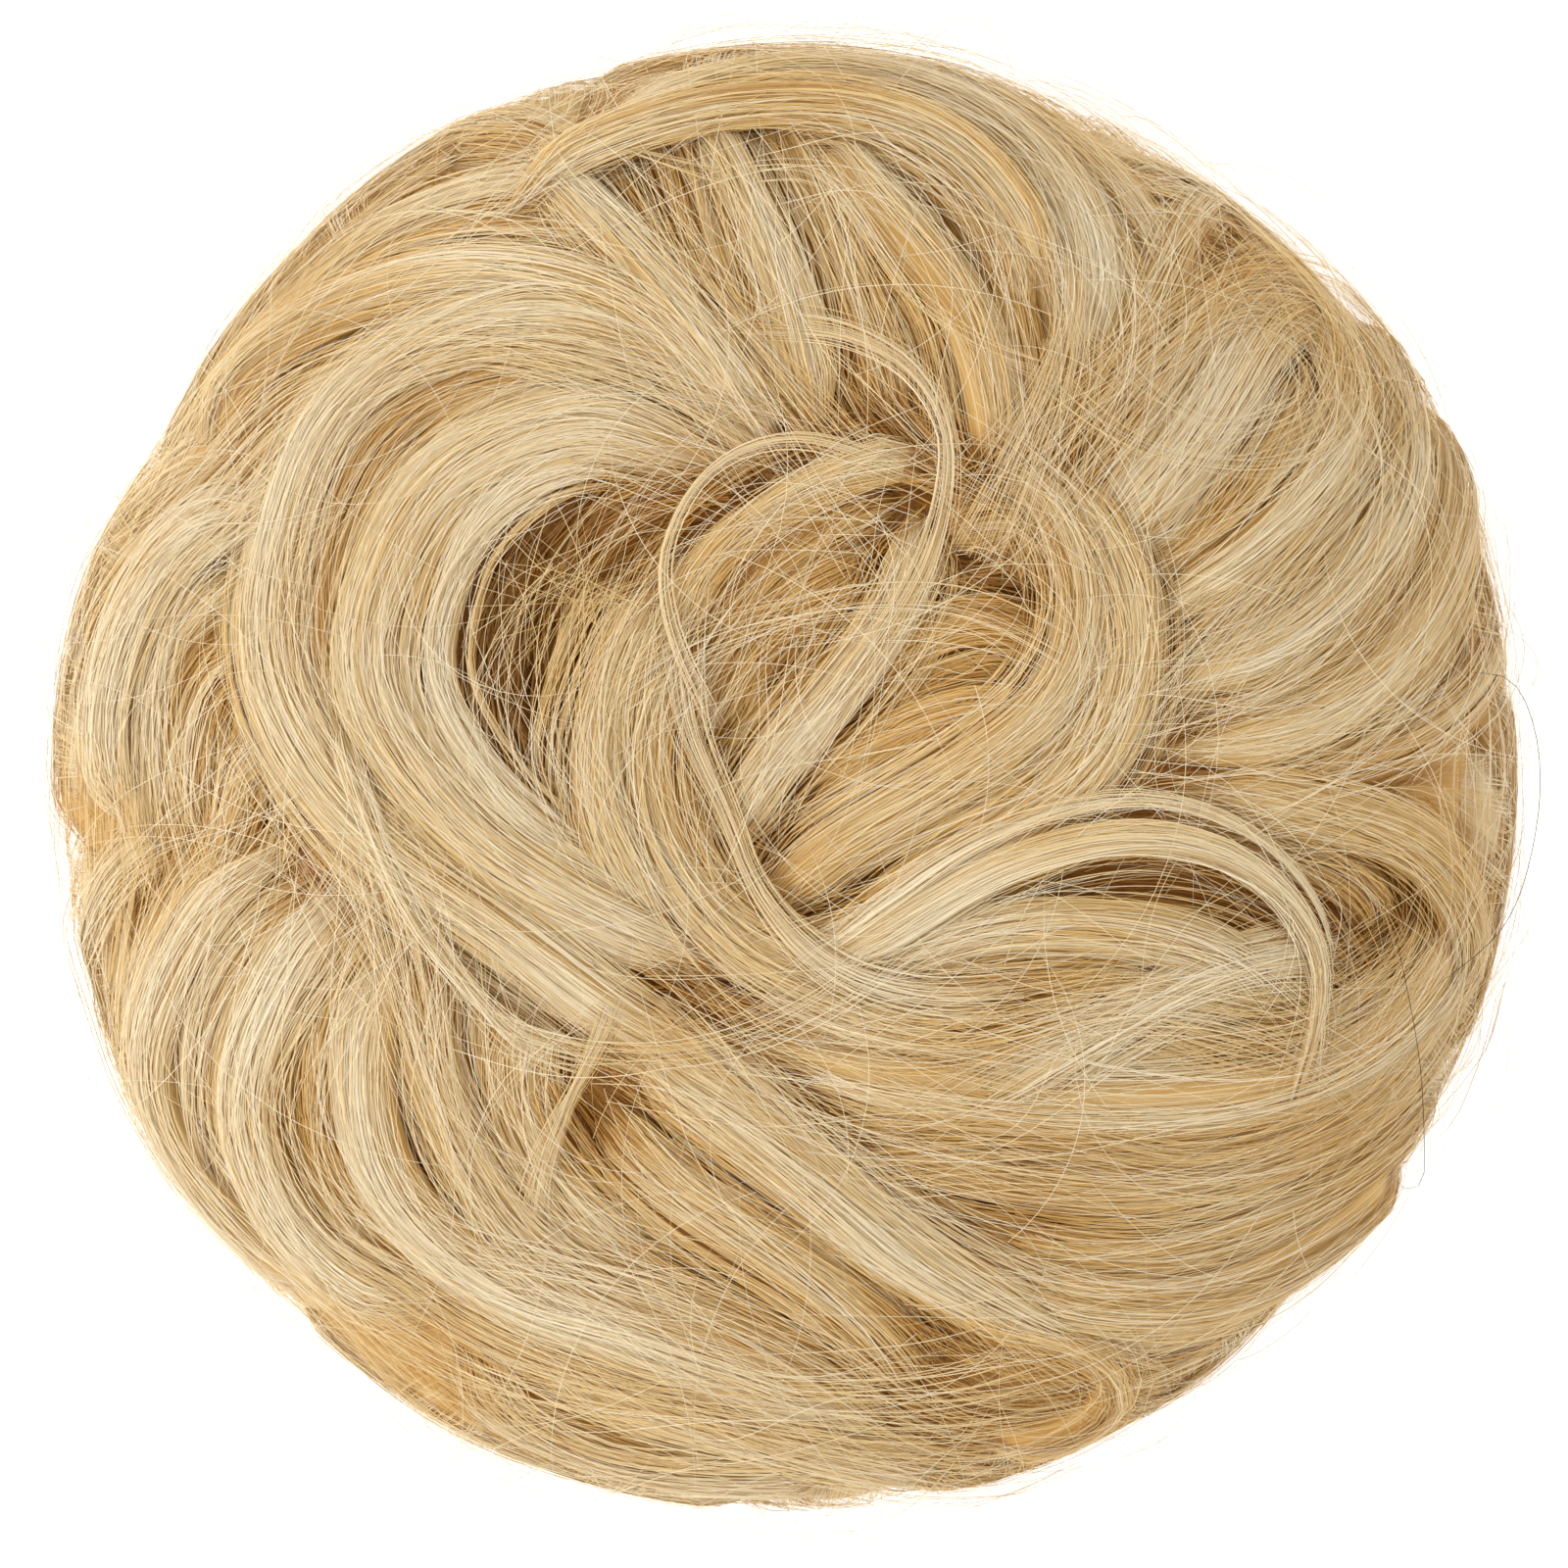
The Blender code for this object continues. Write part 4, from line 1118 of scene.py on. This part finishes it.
WISPS: tuple[Wisp, ...] = (
    Wisp("crown_loop", 30, 2.2, 1.4, 0.74, ((-3, 46), (6, 45), (13, 41), (16.5, 34), (15.5, 25), (12, 17), (5, 7))),
    Wisp("crown_arc", 18, 1.6, 1.6, 0.76, ((12, 31), (3, 34), (-4, 33), (-9, 29), (-12, 22), (-11, 14), (-7, 5))),
    Wisp("pale_strand", 40, 3.0, 1.0, 0.82, ((-11, 17), (-10, 6), (-6, -3), (-2, -12), (5, -19), (14, -22),
         (24, -22))),
    Wisp("swirl_ring", 18, 1.6, 0.9, 0.84, ((-18, 31), (-27, 28), (-34, 20), (-35.5, 11), (-31, 2), (-24, -5))),
    Wisp("swirl_tip", 24, 3.0, 0.9, 0.78, ((-13, 46), (-25, 49), (-37, 45), (-46, 37), (-51, 26), (-50, 14))),
    Wisp("arch_edge", 18, 1.4, 0.9, 0.9, ((2, -17), (14, -11), (28, -6), (40, -7), (50, -13), (54, -24), (52, -33))),
    Wisp("arch_inner", 14, 2.6, 0.8, 0.84, ((12, -17), (26, -14), (38, -15), (48, -19), (56, -26))),
    Wisp("oblique_tip", 16, 2.6, 0.8, 0.84, ((24, -29), (34, -24), (44, -19), (56, -17))),
    Wisp("side_tail_tip", 20, 2.2, 0.8, 0.8, ((-39, -6), (-36, -14), (-31, -21), (-26, -26), (-19, -28))),
    Wisp("short_tail", 40, 2.2, 0.8, 0.74, ((-17, -22), (-19, -27), (-22, -33), (-24.5, -39), (-25.5, -44)), 0.8),
    Wisp("fan_cross", 7, 3.5, 1.2, 0.74, ((-8, 60), (2, 61), (7, 57), (12, 49), (20, 43), (28, 40)), 0.8),
    Wisp("snipped_tuft", 9, 1.4, 1.2, 0.7, ((-24, 66), (-17, 64), (-10, 62), (-4.5, 60.8))),
    Wisp("centre_cross", 10, 5.0, 1.4, 0.76, ((-20, 4), (-8, 13), (6, 17), (19, 16), (30, 9)), 0.75),
    Wisp("lower_cross", 10, 6.0, 1.2, 0.8, ((-34, -22), (-22, -27), (-9, -27), (3, -22), (12, -14)), 0.75),
    Wisp("left_cross", 8, 10.0, 1.2, 0.8, ((-57, 6), (-49, -6), (-42, -19), (-36, -32), (-30, -45)), 0.75),
    Wisp("right_cross", 14, 7.0, 1.4, 0.76, ((26, 44), (35, 36), (45, 33), (55, 36), (60, 46)), 0.75),
    Wisp("edge_curl", 14, 4.0, 1.4, 0.72, ((48, 57), (54, 52), (57, 44), (55, 37), (49, 33)), 0.75),
    Wisp("band_cross", 12, 7.0, 1.2, 0.8, ((10, -34), (24, -27), (38, -24), (50, -27), (60, -35)), 0.75),
    Wisp("chin_cross", 16, 8.0, 1.2, 0.76, ((-46, -42), (-34, -48), (-20, -50), (-6, -56), (6, -64)), 0.75),
    Wisp("veil_fall", 70, 10.0, 0.7, 0.72, ((-42, -4), (-38, -18), (-34, -34), (-25, -49), (-8, -57)), 0.85),
    Wisp("veil_swirl", 60, 8.0, 0.7, 0.72, ((-2, 34), (-14, 40), (-32, 44), (-50, 38), (-62, 26)), 0.85),
    Wisp("veil_fan", 26, 8.0, 0.7, 0.66, ((-14, 64), (-9, 52), (0, 41), (9, 30)), 0.85),
    Wisp("fan_edge", 46, 6.0, 0.8, 0.76, ((24, 64), (29, 53), (28, 42), (23, 31), (19, 22)), 0.85),
    Wisp("veil_corner", 60, 9.0, 0.8, 0.66, ((26, 28), (36, 40), (46, 49), (57, 46), (64, 34)), 0.85),
    Wisp("veil_right", 50, 9.0, 0.7, 0.7, ((34, 6), (46, 18), (56, 30), (62, 42), (58, 52)), 0.85),
    Wisp("veil_rungs", 60, 9.0, 0.7, 0.6, ((-2, -22), (16, -26), (34, -22), (50, -25), (64, -18)), 0.85),
    Wisp("veil_band", 60, 10.0, 0.7, 0.6, ((6, -36), (26, -36), (44, -39), (60, -33), (70, -18)), 0.85),
    Wisp("veil_chin", 60, 10.0, 0.7, 0.7, ((-46, -48), (-28, -58), (-8, -63), (14, -66), (30, -64)), 0.85),
    Wisp("veil_diagonal", 50, 7.0, 0.7, 0.66, ((-14, -24), (0, -36), (14, -47), (28, -58), (38, -62)), 0.85),
    Wisp("veil_heart", 50, 8.0, 0.7, 0.66, ((-8, 20), (-15, 8), (-12, -8), (0, -19), (16, -25)), 0.85),
    Wisp("veil_cheek", 50, 8.0, 0.7, 0.74, ((-48, 32), (-60, 22), (-66, 6), (-64, -12)), 0.85),
    Wisp("chin_loose", 16, 1.4, 1.0, 0.66, ((-50, -43), (-48, -51), (-42, -59.5), (-34, -66), (-24, -70))),
    Wisp("brow_loose_upper", 12, 6.0, 4.0, 0.8, ((-22, 68), (-38, 66), (-52, 55), (-61, 42)), 0.7),
    Wisp("brow_loose_lower", 12, 5.0, 4.5, 0.8, ((-47, 50), (-57, 44), (-64, 36), (-69, 24)), 0.7),
    Wisp("crest_loose", 12, 5.0, 3.2, 0.8, ((-20, 72), (-6, 76), (10, 75), (26, 70), (38, 60)), 0.7),
    Wisp("corner_loose", 14, 6.0, 3.6, 0.8, ((24, 70), (36, 65), (48, 56), (57, 46), (63, 34)), 0.7),
    Wisp("dark_hair_loop", 1, 0.5, 4.5, -0.2, ((69, 11), (74, 10), (76.5, 3), (76, -6), (73, -15), (66, -21)), 0.9),
    Wisp("dark_hair_hook", 1, 0.3, 4.0, -0.2, ((62, -16), (64, -27), (65, -36), (65.5, -41), (64, -42.5),
         (62, -41)), 0.9),
)


@dataclass(frozen=True)
class Wisps:
    """The thin locks that lie loose on top."""

    crown: CrownShape = CrownShape()
    half_width: float = 0.045
    hairs_scale: float = 1.3
    spacing: float = 1.9
    depth: float = 2.2
    gathered_at: float = 0.45

    def grow(self, wisp: Wisp, seed: int) -> Strands:
        """Grows the hairs of one wisp.

        Args:
            wisp: The wisp.
            seed: Seeds its hairs.

        Returns:
            The hairs.
        """
        random = np.random.default_rng(seed)
        route = smooth_route(wisp.route, self.spacing)
        hairs = round(wisp.hairs * self.hairs_scale)
        share = np.linspace(0, 1, len(route))[None, :]
        fan = 0.35 + 0.65 * np.abs(share - self.gathered_at) / (1 - self.gathered_at)
        place = random.normal(0, 0.5, (hairs, 1))
        sway = 0.5 * np.sin(2 * math.pi * (share * random.uniform(0.3, 0.9, (hairs, 1)) + random.random((hairs, 1))))
        across = (place * fan + 0.25 * sway) * wisp.width
        flat = route[None] + beside(route)[None] * across[..., None]
        rise = wisp.lift * np.sin(math.pi * np.clip(share, 0.02, 0.98)) ** 0.6
        depth = self.depth - rise * random.uniform(0.7, 1.4, (hairs, 1)) - 0.4 * sway
        tone = random.normal(wisp.tone, 0.1 * np.clip(4 * wisp.tone, 0, 1), (hairs, 1)) + 0 * share
        taper = 1 - 0.6 * ease((np.abs(2 * share - 1) - 0.8) / 0.2)
        radius = self.half_width * wisp.fineness * random.uniform(0.6, 1.2, (hairs, 1)) * taper
        return Strands(self.crown.point(flat, depth), radius, tone, random.uniform(-0.9, 0.9, (hairs, 1)) + 0 * tone)


@dataclass(frozen=True)
class Flyaways:
    """Single stray hairs over the locks, and the fine fuzz round the outline."""

    crown: CrownShape = CrownShape()
    along_flow: int = 1500
    crossing: int = 240
    edge: int = 900
    starred: int = 20
    star_place: tuple[float, float] = (-21.0, 19.5)
    half_width: float = 0.029
    samples: int = 17
    side_reach: float = 70.0
    side_run: float = 9.0
    furthest_out: float = 7.5
    free_share: float = 0.6

    def _share(self) -> np.ndarray:
        """Each sample's share of a hair's length, as one row."""
        return np.linspace(0, 1, self.samples)[None, :]

    def _moves(self, heading: np.ndarray, length: np.ndarray) -> np.ndarray:
        """The flat steps of hairs of these lengths that head this way at each sample."""
        return heading_to(heading) * (length / (self.samples - 1))[:, None, None]

    def _finish(self, points: np.ndarray, random: np.random.Generator, tone: float) -> Strands:
        """Gives hairs their width, tone and roll.

        Args:
            points: Their points, hairs first.
            random: The generator.
            tone: Their mean tone.

        Returns:
            The hairs.
        """
        count, share = len(points), self._share()
        radius = self.half_width * random.uniform(0.8, 1.2, (count, 1)) * (1 - 0.5 * ease((2 * share - 1.2) / 0.8))
        # Painted shade: hairs over the opening are darker.
        sunk = self.crown.opening(points) / self.crown.opening_depth
        return Strands(points, radius, random.normal(tone, 0.10, (count, 1)) - 0.3 * sunk,
                       random.uniform(-0.9, 0.9, (count, 1)) + 0 * share)

    def _settle(self, flat: np.ndarray, depth: np.ndarray) -> np.ndarray:
        """Points on the crown for places seen from above, kept from running down the side.

        Args:
            flat: Places along X and Y on the last axis.
            depth: How far inside the outline, in millimetres.

        Returns:
            The points.
        """
        far = np.hypot(flat[..., 0], flat[..., 1])
        kept = np.where(far > self.side_reach,
                        self.side_reach + self.side_run * np.tanh((far - self.side_reach) / self.side_run), far)
        return self.crown.point(flat * (kept / np.maximum(far, 1e-6))[..., None], depth)

    def loosened(self, locks: list[Lock]) -> Strands:
        """Hairs that have come loose from their locks and lie a little askew over the next ones.

        Args:
            locks: The locks.

        Returns:
            The hairs.
        """
        random = np.random.default_rng(67)
        share = self._share()[0]
        lengths = np.array([len(smooth_route(lock.route, 3.0)) for lock in locks])
        picks = random.choice(len(locks), self.along_flow, p=lengths / lengths.sum())
        routes = [smooth_route(lock.route, 1.5) for lock in locks]
        made = []
        for route in (routes[pick] for pick in picks):
            low = random.uniform(-0.15, 0.45)
            along = low + random.uniform(0.4, 0.8) * share
            inside = np.clip(along, 0, 1)
            flat, reach = along_axis(inside, route), 1.5 * len(route)
            for past, way in ((along < 0, route[3] - route[0]), (along > 1, route[-1] - route[-4])):
                flat += ((along - inside) * reach * past)[:, None] * unit(way)
            askew = random.normal(0, 3.0) + random.normal(0, 6.5) * (share - random.uniform(0.2, 0.8))
            sway = random.normal(0, 1.0) * np.sin(2 * math.pi * (share * random.uniform(0.4, 1.2) + random.random()))
            made.append(flat + beside(flat) * (askew + sway)[:, None])
        bow = np.sin(math.pi * self._share())
        lift = random.uniform(0.3, 2.0, (self.along_flow, 1)) * bow
        return self._finish(self._settle(np.stack(made), 2.6 - 1.4 * bow ** 0.7 - lift), random, 0.94)

    def across(self) -> Strands:
        """Hairs that cross the crown any way, in long arcs.

        Returns:
            The hairs.
        """
        random = np.random.default_rng(71)
        count, share = self.crossing, self._share()
        reach = self.side_reach * np.sqrt(random.random(count))
        turn = random.uniform(0, 2 * math.pi, count)
        way = turn + math.pi / 2 * random.choice([-1, 1], count) + random.normal(0, 0.8, count)
        length = random.uniform(15, 55, count)
        bend = length * random.choice([-1, 1], count) / random.uniform(14, 45, count)
        moves = self._moves(way[:, None] + bend[:, None] * share, length)
        start = reach[:, None] * heading_to(turn)
        bow = np.sin(math.pi * share)
        lift = random.uniform(0.2, 1.9, (count, 1)) * bow
        flat = start[:, None, :] + np.cumsum(moves, axis=1) - moves[:, :1]
        return self._finish(self._settle(flat, 2.8 - 2.0 * bow ** 0.7 - lift), random, 1.0)

    def round_edge(self) -> Strands:
        """Fine hairs that leave the widest part and lie close round it.

        Returns:
            The hairs.
        """
        random = np.random.default_rng(83)
        count, share = self.edge, self._share()
        bow = np.sin(math.pi * share)
        turn = random.uniform(0, 2 * math.pi, count)
        span = random.uniform(0.10, 0.45, (count, 1)) * random.choice([-1, 1], (count, 1))
        lean = random.normal(1.45, 0.18, (count, 1)) + random.normal(0, 0.10, (count, 1)) * (share - 0.5)
        free = random.random((count, 1)) < self.free_share
        out = np.minimum(random.gamma(1.2, 1.6, (count, 1)), self.furthest_out)
        out = out * np.where(free, share ** 1.6, bow)
        around = turn[:, None] + span * (share - 0.5)
        return self._finish(self.crown.leaned(around, np.clip(lean, 0.7, 2.5), 5.4 - 1.4 * bow - out), random, 0.84)

    def star(self) -> Strands:
        """Fine hairs that cross each other over the dark opening.

        Returns:
            The hairs.
        """
        random = np.random.default_rng(89)
        count, share = self.starred, self._share()
        way = random.uniform(0, math.pi, count)
        length = random.uniform(12, 34, count)
        heading = way[:, None] + random.normal(0, 0.5, (count, 1)) * (share - 0.5)
        path = np.cumsum(self._moves(heading, length), axis=1)
        middle = np.array(self.star_place) + random.normal(0, 0.9, (count, 2))
        off = random.uniform(0.35, 0.65, (count, 1)) * path[:, -1]
        depth = random.uniform(0.2, 2.6, (count, 1)) + 1.6 * np.sin(math.pi * share)
        return self._finish(self._settle(middle[:, None, :] + path - off[:, None, :], depth), random, 0.86)


@dataclass(frozen=True)
class Padding:
    """The padded ring under the locks, hollow from below, with the hair that is gathered to its mouth."""

    crown: CrownShape = CrownShape()
    inset: float = 8.0
    turns: int = 96
    lean_deg: float = 146.0
    outer_rows: int = 28
    sunk_rows: int = 20
    mouth_radius: float = 21.0
    hollow_radius: float = 23.0
    hollow_top: float = 33.0
    hollow_shoulder: float = 25.0
    band_radius: float = 23.5
    band_thick: float = 4.6
    band_height: float = 5.2
    seat_gap: float = 0.3
    comb_step: float = 3.2
    gathered: int = 1100
    half_width: float = 0.10
    climb_from: float = 46.0
    climb_to: float = 55.0

    def _profile(self) -> np.ndarray:
        """The half section from the crown down the outside, across the underside and up into the hollow.

        Returns:
            Its points, each a distance from Z and a height.
        """
        lean = np.radians(np.linspace(0, self.lean_deg, self.outer_rows))
        outer = self.crown.leaned(np.zeros(self.outer_rows), lean, np.full(self.outer_rows, self.inset))[:, [0, 2]]
        seat = self.band_thick / 2 + self.seat_gap
        groove = [self.band_radius, self.band_height] + seat * heading_to(np.radians(np.linspace(-105, 105, 13)))
        wide, top, shoulder = self.hollow_radius, self.hollow_top, self.hollow_shoulder
        wall = [(wide, groove[-1, 1] + 2.0), (wide, 16.0), (wide, shoulder), (wide * 0.9, shoulder + 3.6),
                (wide * 0.72, top - 2.5), (wide * 0.35, top - 0.6), (0.0, top)]
        edge, mouth = outer[-1, 0], self.mouth_radius
        foot = [(edge - 1.0, 0.5), (edge - 3.0, 0.2), (36.0, 0.2), (mouth + 4.5, 0.2), (mouth + 3.4, 0.5),
                (mouth + 1.6, 1.6)]
        outer[0, 0] = 0.0
        return np.vstack([outer, foot, groove, wall])

    def padding(self, material: bpy.types.Material) -> bpy.types.Object:
        """Builds the padding as one closed, combed surface.

        Args:
            material: Its material.

        Returns:
            The object.
        """
        profile = self._profile()
        inner = profile[1:-1]
        rows = len(inner)
        around = heading_to(np.linspace(0, 2 * math.pi, self.turns, endpoint=False))
        ring = np.concatenate([inner[None, :, :1] * around[:, None, :],
                               np.broadcast_to(inner[:, 1:], (self.turns, rows, 1))], axis=-1)
        ring[..., 2] -= self.crown.opening(ring) * (np.arange(rows) < self.sunk_rows)
        corners = np.vstack([ring.reshape(-1, 3), [[0, 0, profile[0, 1]], [0, 0, profile[-1, 1]]]])
        turn, row = (part[:, [0, 3, 2, 1]] for part in sheet(self.turns, rows - 1))
        lap = np.arange(self.turns)
        start, after = lap * rows, (lap + 1) % self.turns * rows
        top, bottom = np.full((2, self.turns), [[len(corners) - 2], [len(corners) - 1]])
        caps = np.vstack([np.stack([start, after, top], axis=-1),
                          np.stack([after + rows - 1, start + rows - 1, bottom], axis=-1)])
        spoke = np.concatenate([turn.ravel(), np.stack([lap, lap + 1, lap + 0.5], axis=-1).ravel(),
                                np.stack([lap + 1, lap, lap + 0.5], axis=-1).ravel()])
        line = np.concatenate([row.ravel() + 1, np.tile([1, 1, 0], self.turns),
                               np.tile([rows, rows, rows + 1], self.turns)])
        travelled = np.concatenate([[0], np.cumsum(np.linalg.norm(np.diff(profile, axis=0), axis=1))])[line]
        combed = np.stack([spoke * self.comb_step, travelled], axis=-1)
        cell = np.stack([spoke / self.turns, travelled / travelled.max()], axis=-1) * 0.98 + 0.01
        # Painted shade: the padding is darkest under the locks and paler only from 56 mm out.
        tone = 0.02 + 0.45 * ease((np.hypot(corners[:, 0], corners[:, 1]) - 56) / 12)
        return mesh_object("padding", corners, (turn % self.turns * rows + row, caps),
                           {COMB_MAP: combed, BAKE_MAP: cell}, tone, material)

    def gather(self) -> Strands:
        """Fibres that run across the underside, from the rim to the mouth of the hollow.

        Returns:
            The fibres.
        """
        random = np.random.default_rng(97)
        share, size = np.linspace(0, 1, 13)[None, :], (self.gathered, 1)
        turn = random.uniform(0, 2 * math.pi, size)
        swirl = random.normal(0.62, 0.16, size)
        outer = random.uniform(self.climb_from, self.climb_to, size)
        inner = random.uniform(24.6, 26.4, size)
        reach = outer + (inner - outer) * share
        angle = turn + swirl * (1 - share) + random.normal(0, 0.08, size) * share ** 2
        climb = np.clip((reach - self.climb_from) / (self.climb_to - self.climb_from), 0, 1) ** 1.3 * 2.0
        tuck = np.clip((27.0 - reach) / 3.0, 0, 1) * 1.1
        height = 0.22 + random.uniform(0, 0.25, size) + climb + tuck
        points = np.concatenate([reach[..., None] * heading_to(angle), height[..., None]], axis=-1)
        tone = random.normal(0.5, 0.16, size) + 0 * share
        roll = random.uniform(-0.5, 0.5, size) + 0 * share
        return Strands(points, self.half_width + 0 * tone, np.maximum(tone, 0.12), roll)


@dataclass(frozen=True)
class ElasticBand:
    """The gathered, fabric covered elastic in the mouth of the hollow."""

    ring_radius: float = 23.5
    thick: float = 4.6
    height: float = 5.2
    round_steps: int = 240
    across_steps: int = 16
    gather_depth: float = 0.16
    gathers: int = 48

    def build(self, material: bpy.types.Material) -> bpy.types.Object:
        """Builds the band as a ring with fine gathers.

        Args:
            material: Its material.

        Returns:
            The object.
        """
        turn = np.linspace(0, 2 * math.pi, self.round_steps, endpoint=False)[:, None]
        lap = np.linspace(0, 2 * math.pi, self.across_steps, endpoint=False)
        fold = 0.5 + 0.5 * np.sin(self.gathers * turn + 1.7 * np.sin(3 * turn) + 0.8 * np.cos(lap))
        radius = self.thick / 2 - self.gather_depth * fold
        reach = self.ring_radius + radius * np.cos(lap)
        corners = np.stack([reach * np.cos(turn), reach * np.sin(turn), self.height + radius * np.sin(lap)], axis=-1)
        row, column = sheet(self.round_steps, self.across_steps)
        quads = row % self.round_steps * self.across_steps + column % self.across_steps
        place = np.stack([row / self.round_steps, column / self.across_steps], axis=-1).reshape(-1, 2)
        return mesh_object("elastic_cover", corners.reshape(-1, 3), (quads,),
                           {COMB_MAP: place, BAKE_MAP: place * 0.98 + 0.01}, None, material)


@dataclass(frozen=True)
class Softbox:
    """A square soft light that faces the piece: its place and size in metres and its power in watts."""

    name: str
    place: tuple[float, float, float]
    size: float
    power: float


@dataclass(frozen=True)
class Studio:
    """White floor, soft lights and a camera that looks straight down."""

    frame_width: float = 160.0
    middle: tuple[float, float] = (0.0, -0.5)
    focus_height: float = 26.0
    camera_height: float = 1600.0
    sensor: float = 36.0
    furthest_seen: float = 20.0
    floor_size: float = 6.0
    floor_grey: float = 0.6
    floor_glow: float = 0.78
    sky_strength: float = 0.705
    softboxes: tuple[Softbox, ...] = (Softbox("key_softbox", (-0.85, -0.15, 0.95), 0.8, 9.1),
                                      Softbox("fill_softbox", (0.5, 0.6, 1.1), 0.9, 2.4))

    def floor(self) -> None:
        """Lays the pale floor."""
        bpy.ops.mesh.primitive_plane_add(size=self.floor_size, location=(0, 0, 0))
        floor = bpy.context.object
        floor.name = "studio_floor"
        graph = Graph("studio_white")
        graph.fix(Base_Color=(*[self.floor_grey] * 3, 1), Roughness=0.9, Specular_IOR_Level=0.1,
                  Emission_Color=(1, 1, 1, 1), Emission_Strength=self.floor_glow)
        floor.data.materials.append(graph.material)

    def lights(self) -> None:
        """Sets an even white world and two soft lights, the larger power from the left."""
        world = bpy.data.worlds.new("studio_world")
        world.use_nodes = True
        sky = world.node_tree.nodes["Background"].inputs
        sky["Color"].default_value = (1, 1, 1, 1)
        sky["Strength"].default_value = self.sky_strength
        scene = bpy.context.scene
        scene.world = world
        scene.view_settings.view_transform = "Standard"
        for box in self.softboxes:
            data = bpy.data.lights.new(box.name, "AREA")
            data.shape = "SQUARE"
            data.size = box.size
            data.energy = box.power
            light = bpy.data.objects.new(box.name, data)
            light.location = box.place
            light.rotation_euler = (-Vector(box.place)).to_track_quat("-Z", "Y").to_euler()
            scene.collection.objects.link(light)

    def camera(self) -> None:
        """Hangs the camera over the crown, with +Y up in the picture."""
        data = bpy.data.cameras.new("overhead_camera")
        data.sensor_width = self.sensor
        data.lens = self.sensor * (self.camera_height - self.focus_height) / self.frame_width
        data.clip_end = self.furthest_seen
        camera = bpy.data.objects.new("overhead_camera", data)
        camera.location = (self.middle[0] * MM, self.middle[1] * MM, self.camera_height * MM)
        bpy.context.scene.collection.objects.link(camera)
        bpy.context.scene.camera = camera


@dataclass(frozen=True)
class TopKnot:
    """The whole hairpiece."""

    combed: CombedLocks = CombedLocks()
    surfaces: LockSurfaces = LockSurfaces()
    mesher: StrandMesher = StrandMesher()
    mean_tone: float = 0.60
    tone_contrast: float = 0.85
    palest: float = 0.76
    deepest: float = 0.47
    rim_share: float = 0.26

    def evened(self, lock: Lock) -> float:
        """The tone of a lock's fibres, drawn towards the others unless it is hidden, where its low tone is kept as
        painted shade.
        """
        evened = self.mean_tone + self.tone_contrast * (lock.tone - self.mean_tone)
        return lock.tone if lock.layer == 0 else max(self.deepest, min(evened, self.palest))

    def fibres(self, region: Region, number: int, locks: tuple[Lock, ...]) -> list[Strands]:
        """The combed fibres of a region's locks.

        Args:
            region: The region.
            number: Its number, from 1, which seeds them.
            locks: Its locks.

        Returns:
            Fibres for each lock.
        """
        shift = TONE_SHIFT.get(region, 0.0)
        share = self.rim_share if region is Region.RIM else 1.0
        return [self.combed.grow(replace(lock, tone=self.evened(lock) + shift), 1000 * number + i, share)
                for i, lock in enumerate(locks)]

    def place(self, piece: bpy.types.Object, slot: str = "hair", node: str = "hair_bun") -> None:
        """Ties a piece to the model and reports it.

        Args:
            piece: The piece.
            slot: Not used.
            node: The solid that it stands for.
        """
        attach(piece, "root")
        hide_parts(node)
        piece.data.calc_loop_triangles()
        log.info("%s: %d triangles", piece.name, len(piece.data.loop_triangles))

    def build(self) -> None:
        """Builds and dresses every piece."""
        fibre, combed = BlondeFinish().material(), CombedFinish().material()
        for number, (region, locks) in enumerate({**LOCKS, Region.RIM: RimLocks().locks()}.items(), start=1):
            self.place(self.surfaces.build(f"{region.value}_locks", locks, combed))
            self.place(self.mesher.build(f"{region.value}_fibres", self.fibres(region, number, locks), fibre))
        crossing = [lock for locks in LOCKS.values() for lock in locks]
        padding, strays, wisps = Padding(), Flyaways(), Wisps()
        self.place(padding.padding(combed))
        for name, groups in (
            ("deep_fibres", [DeepHair().grow(crossing), padding.gather()]),
            ("loose_wisps", [wisps.grow(wisp, 500 + i) for i, wisp in enumerate(WISPS)]),
            ("stray_hairs", [strays.loosened(crossing), strays.across(), strays.round_edge(), strays.star()]),
        ):
            self.place(self.mesher.build(name, groups, fibre))
        self.place(ElasticBand().build(ElasticFinish().material()), "elastic", "elastic_band")


def main() -> None:
    """Builds the hairpiece and its studio."""
    logging.basicConfig(level=logging.INFO, format="%(name)s %(message)s")
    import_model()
    TopKnot().build()
    studio = Studio()
    studio.floor()
    studio.lights()
    studio.camera()


if __name__ == "__main__":
    main()
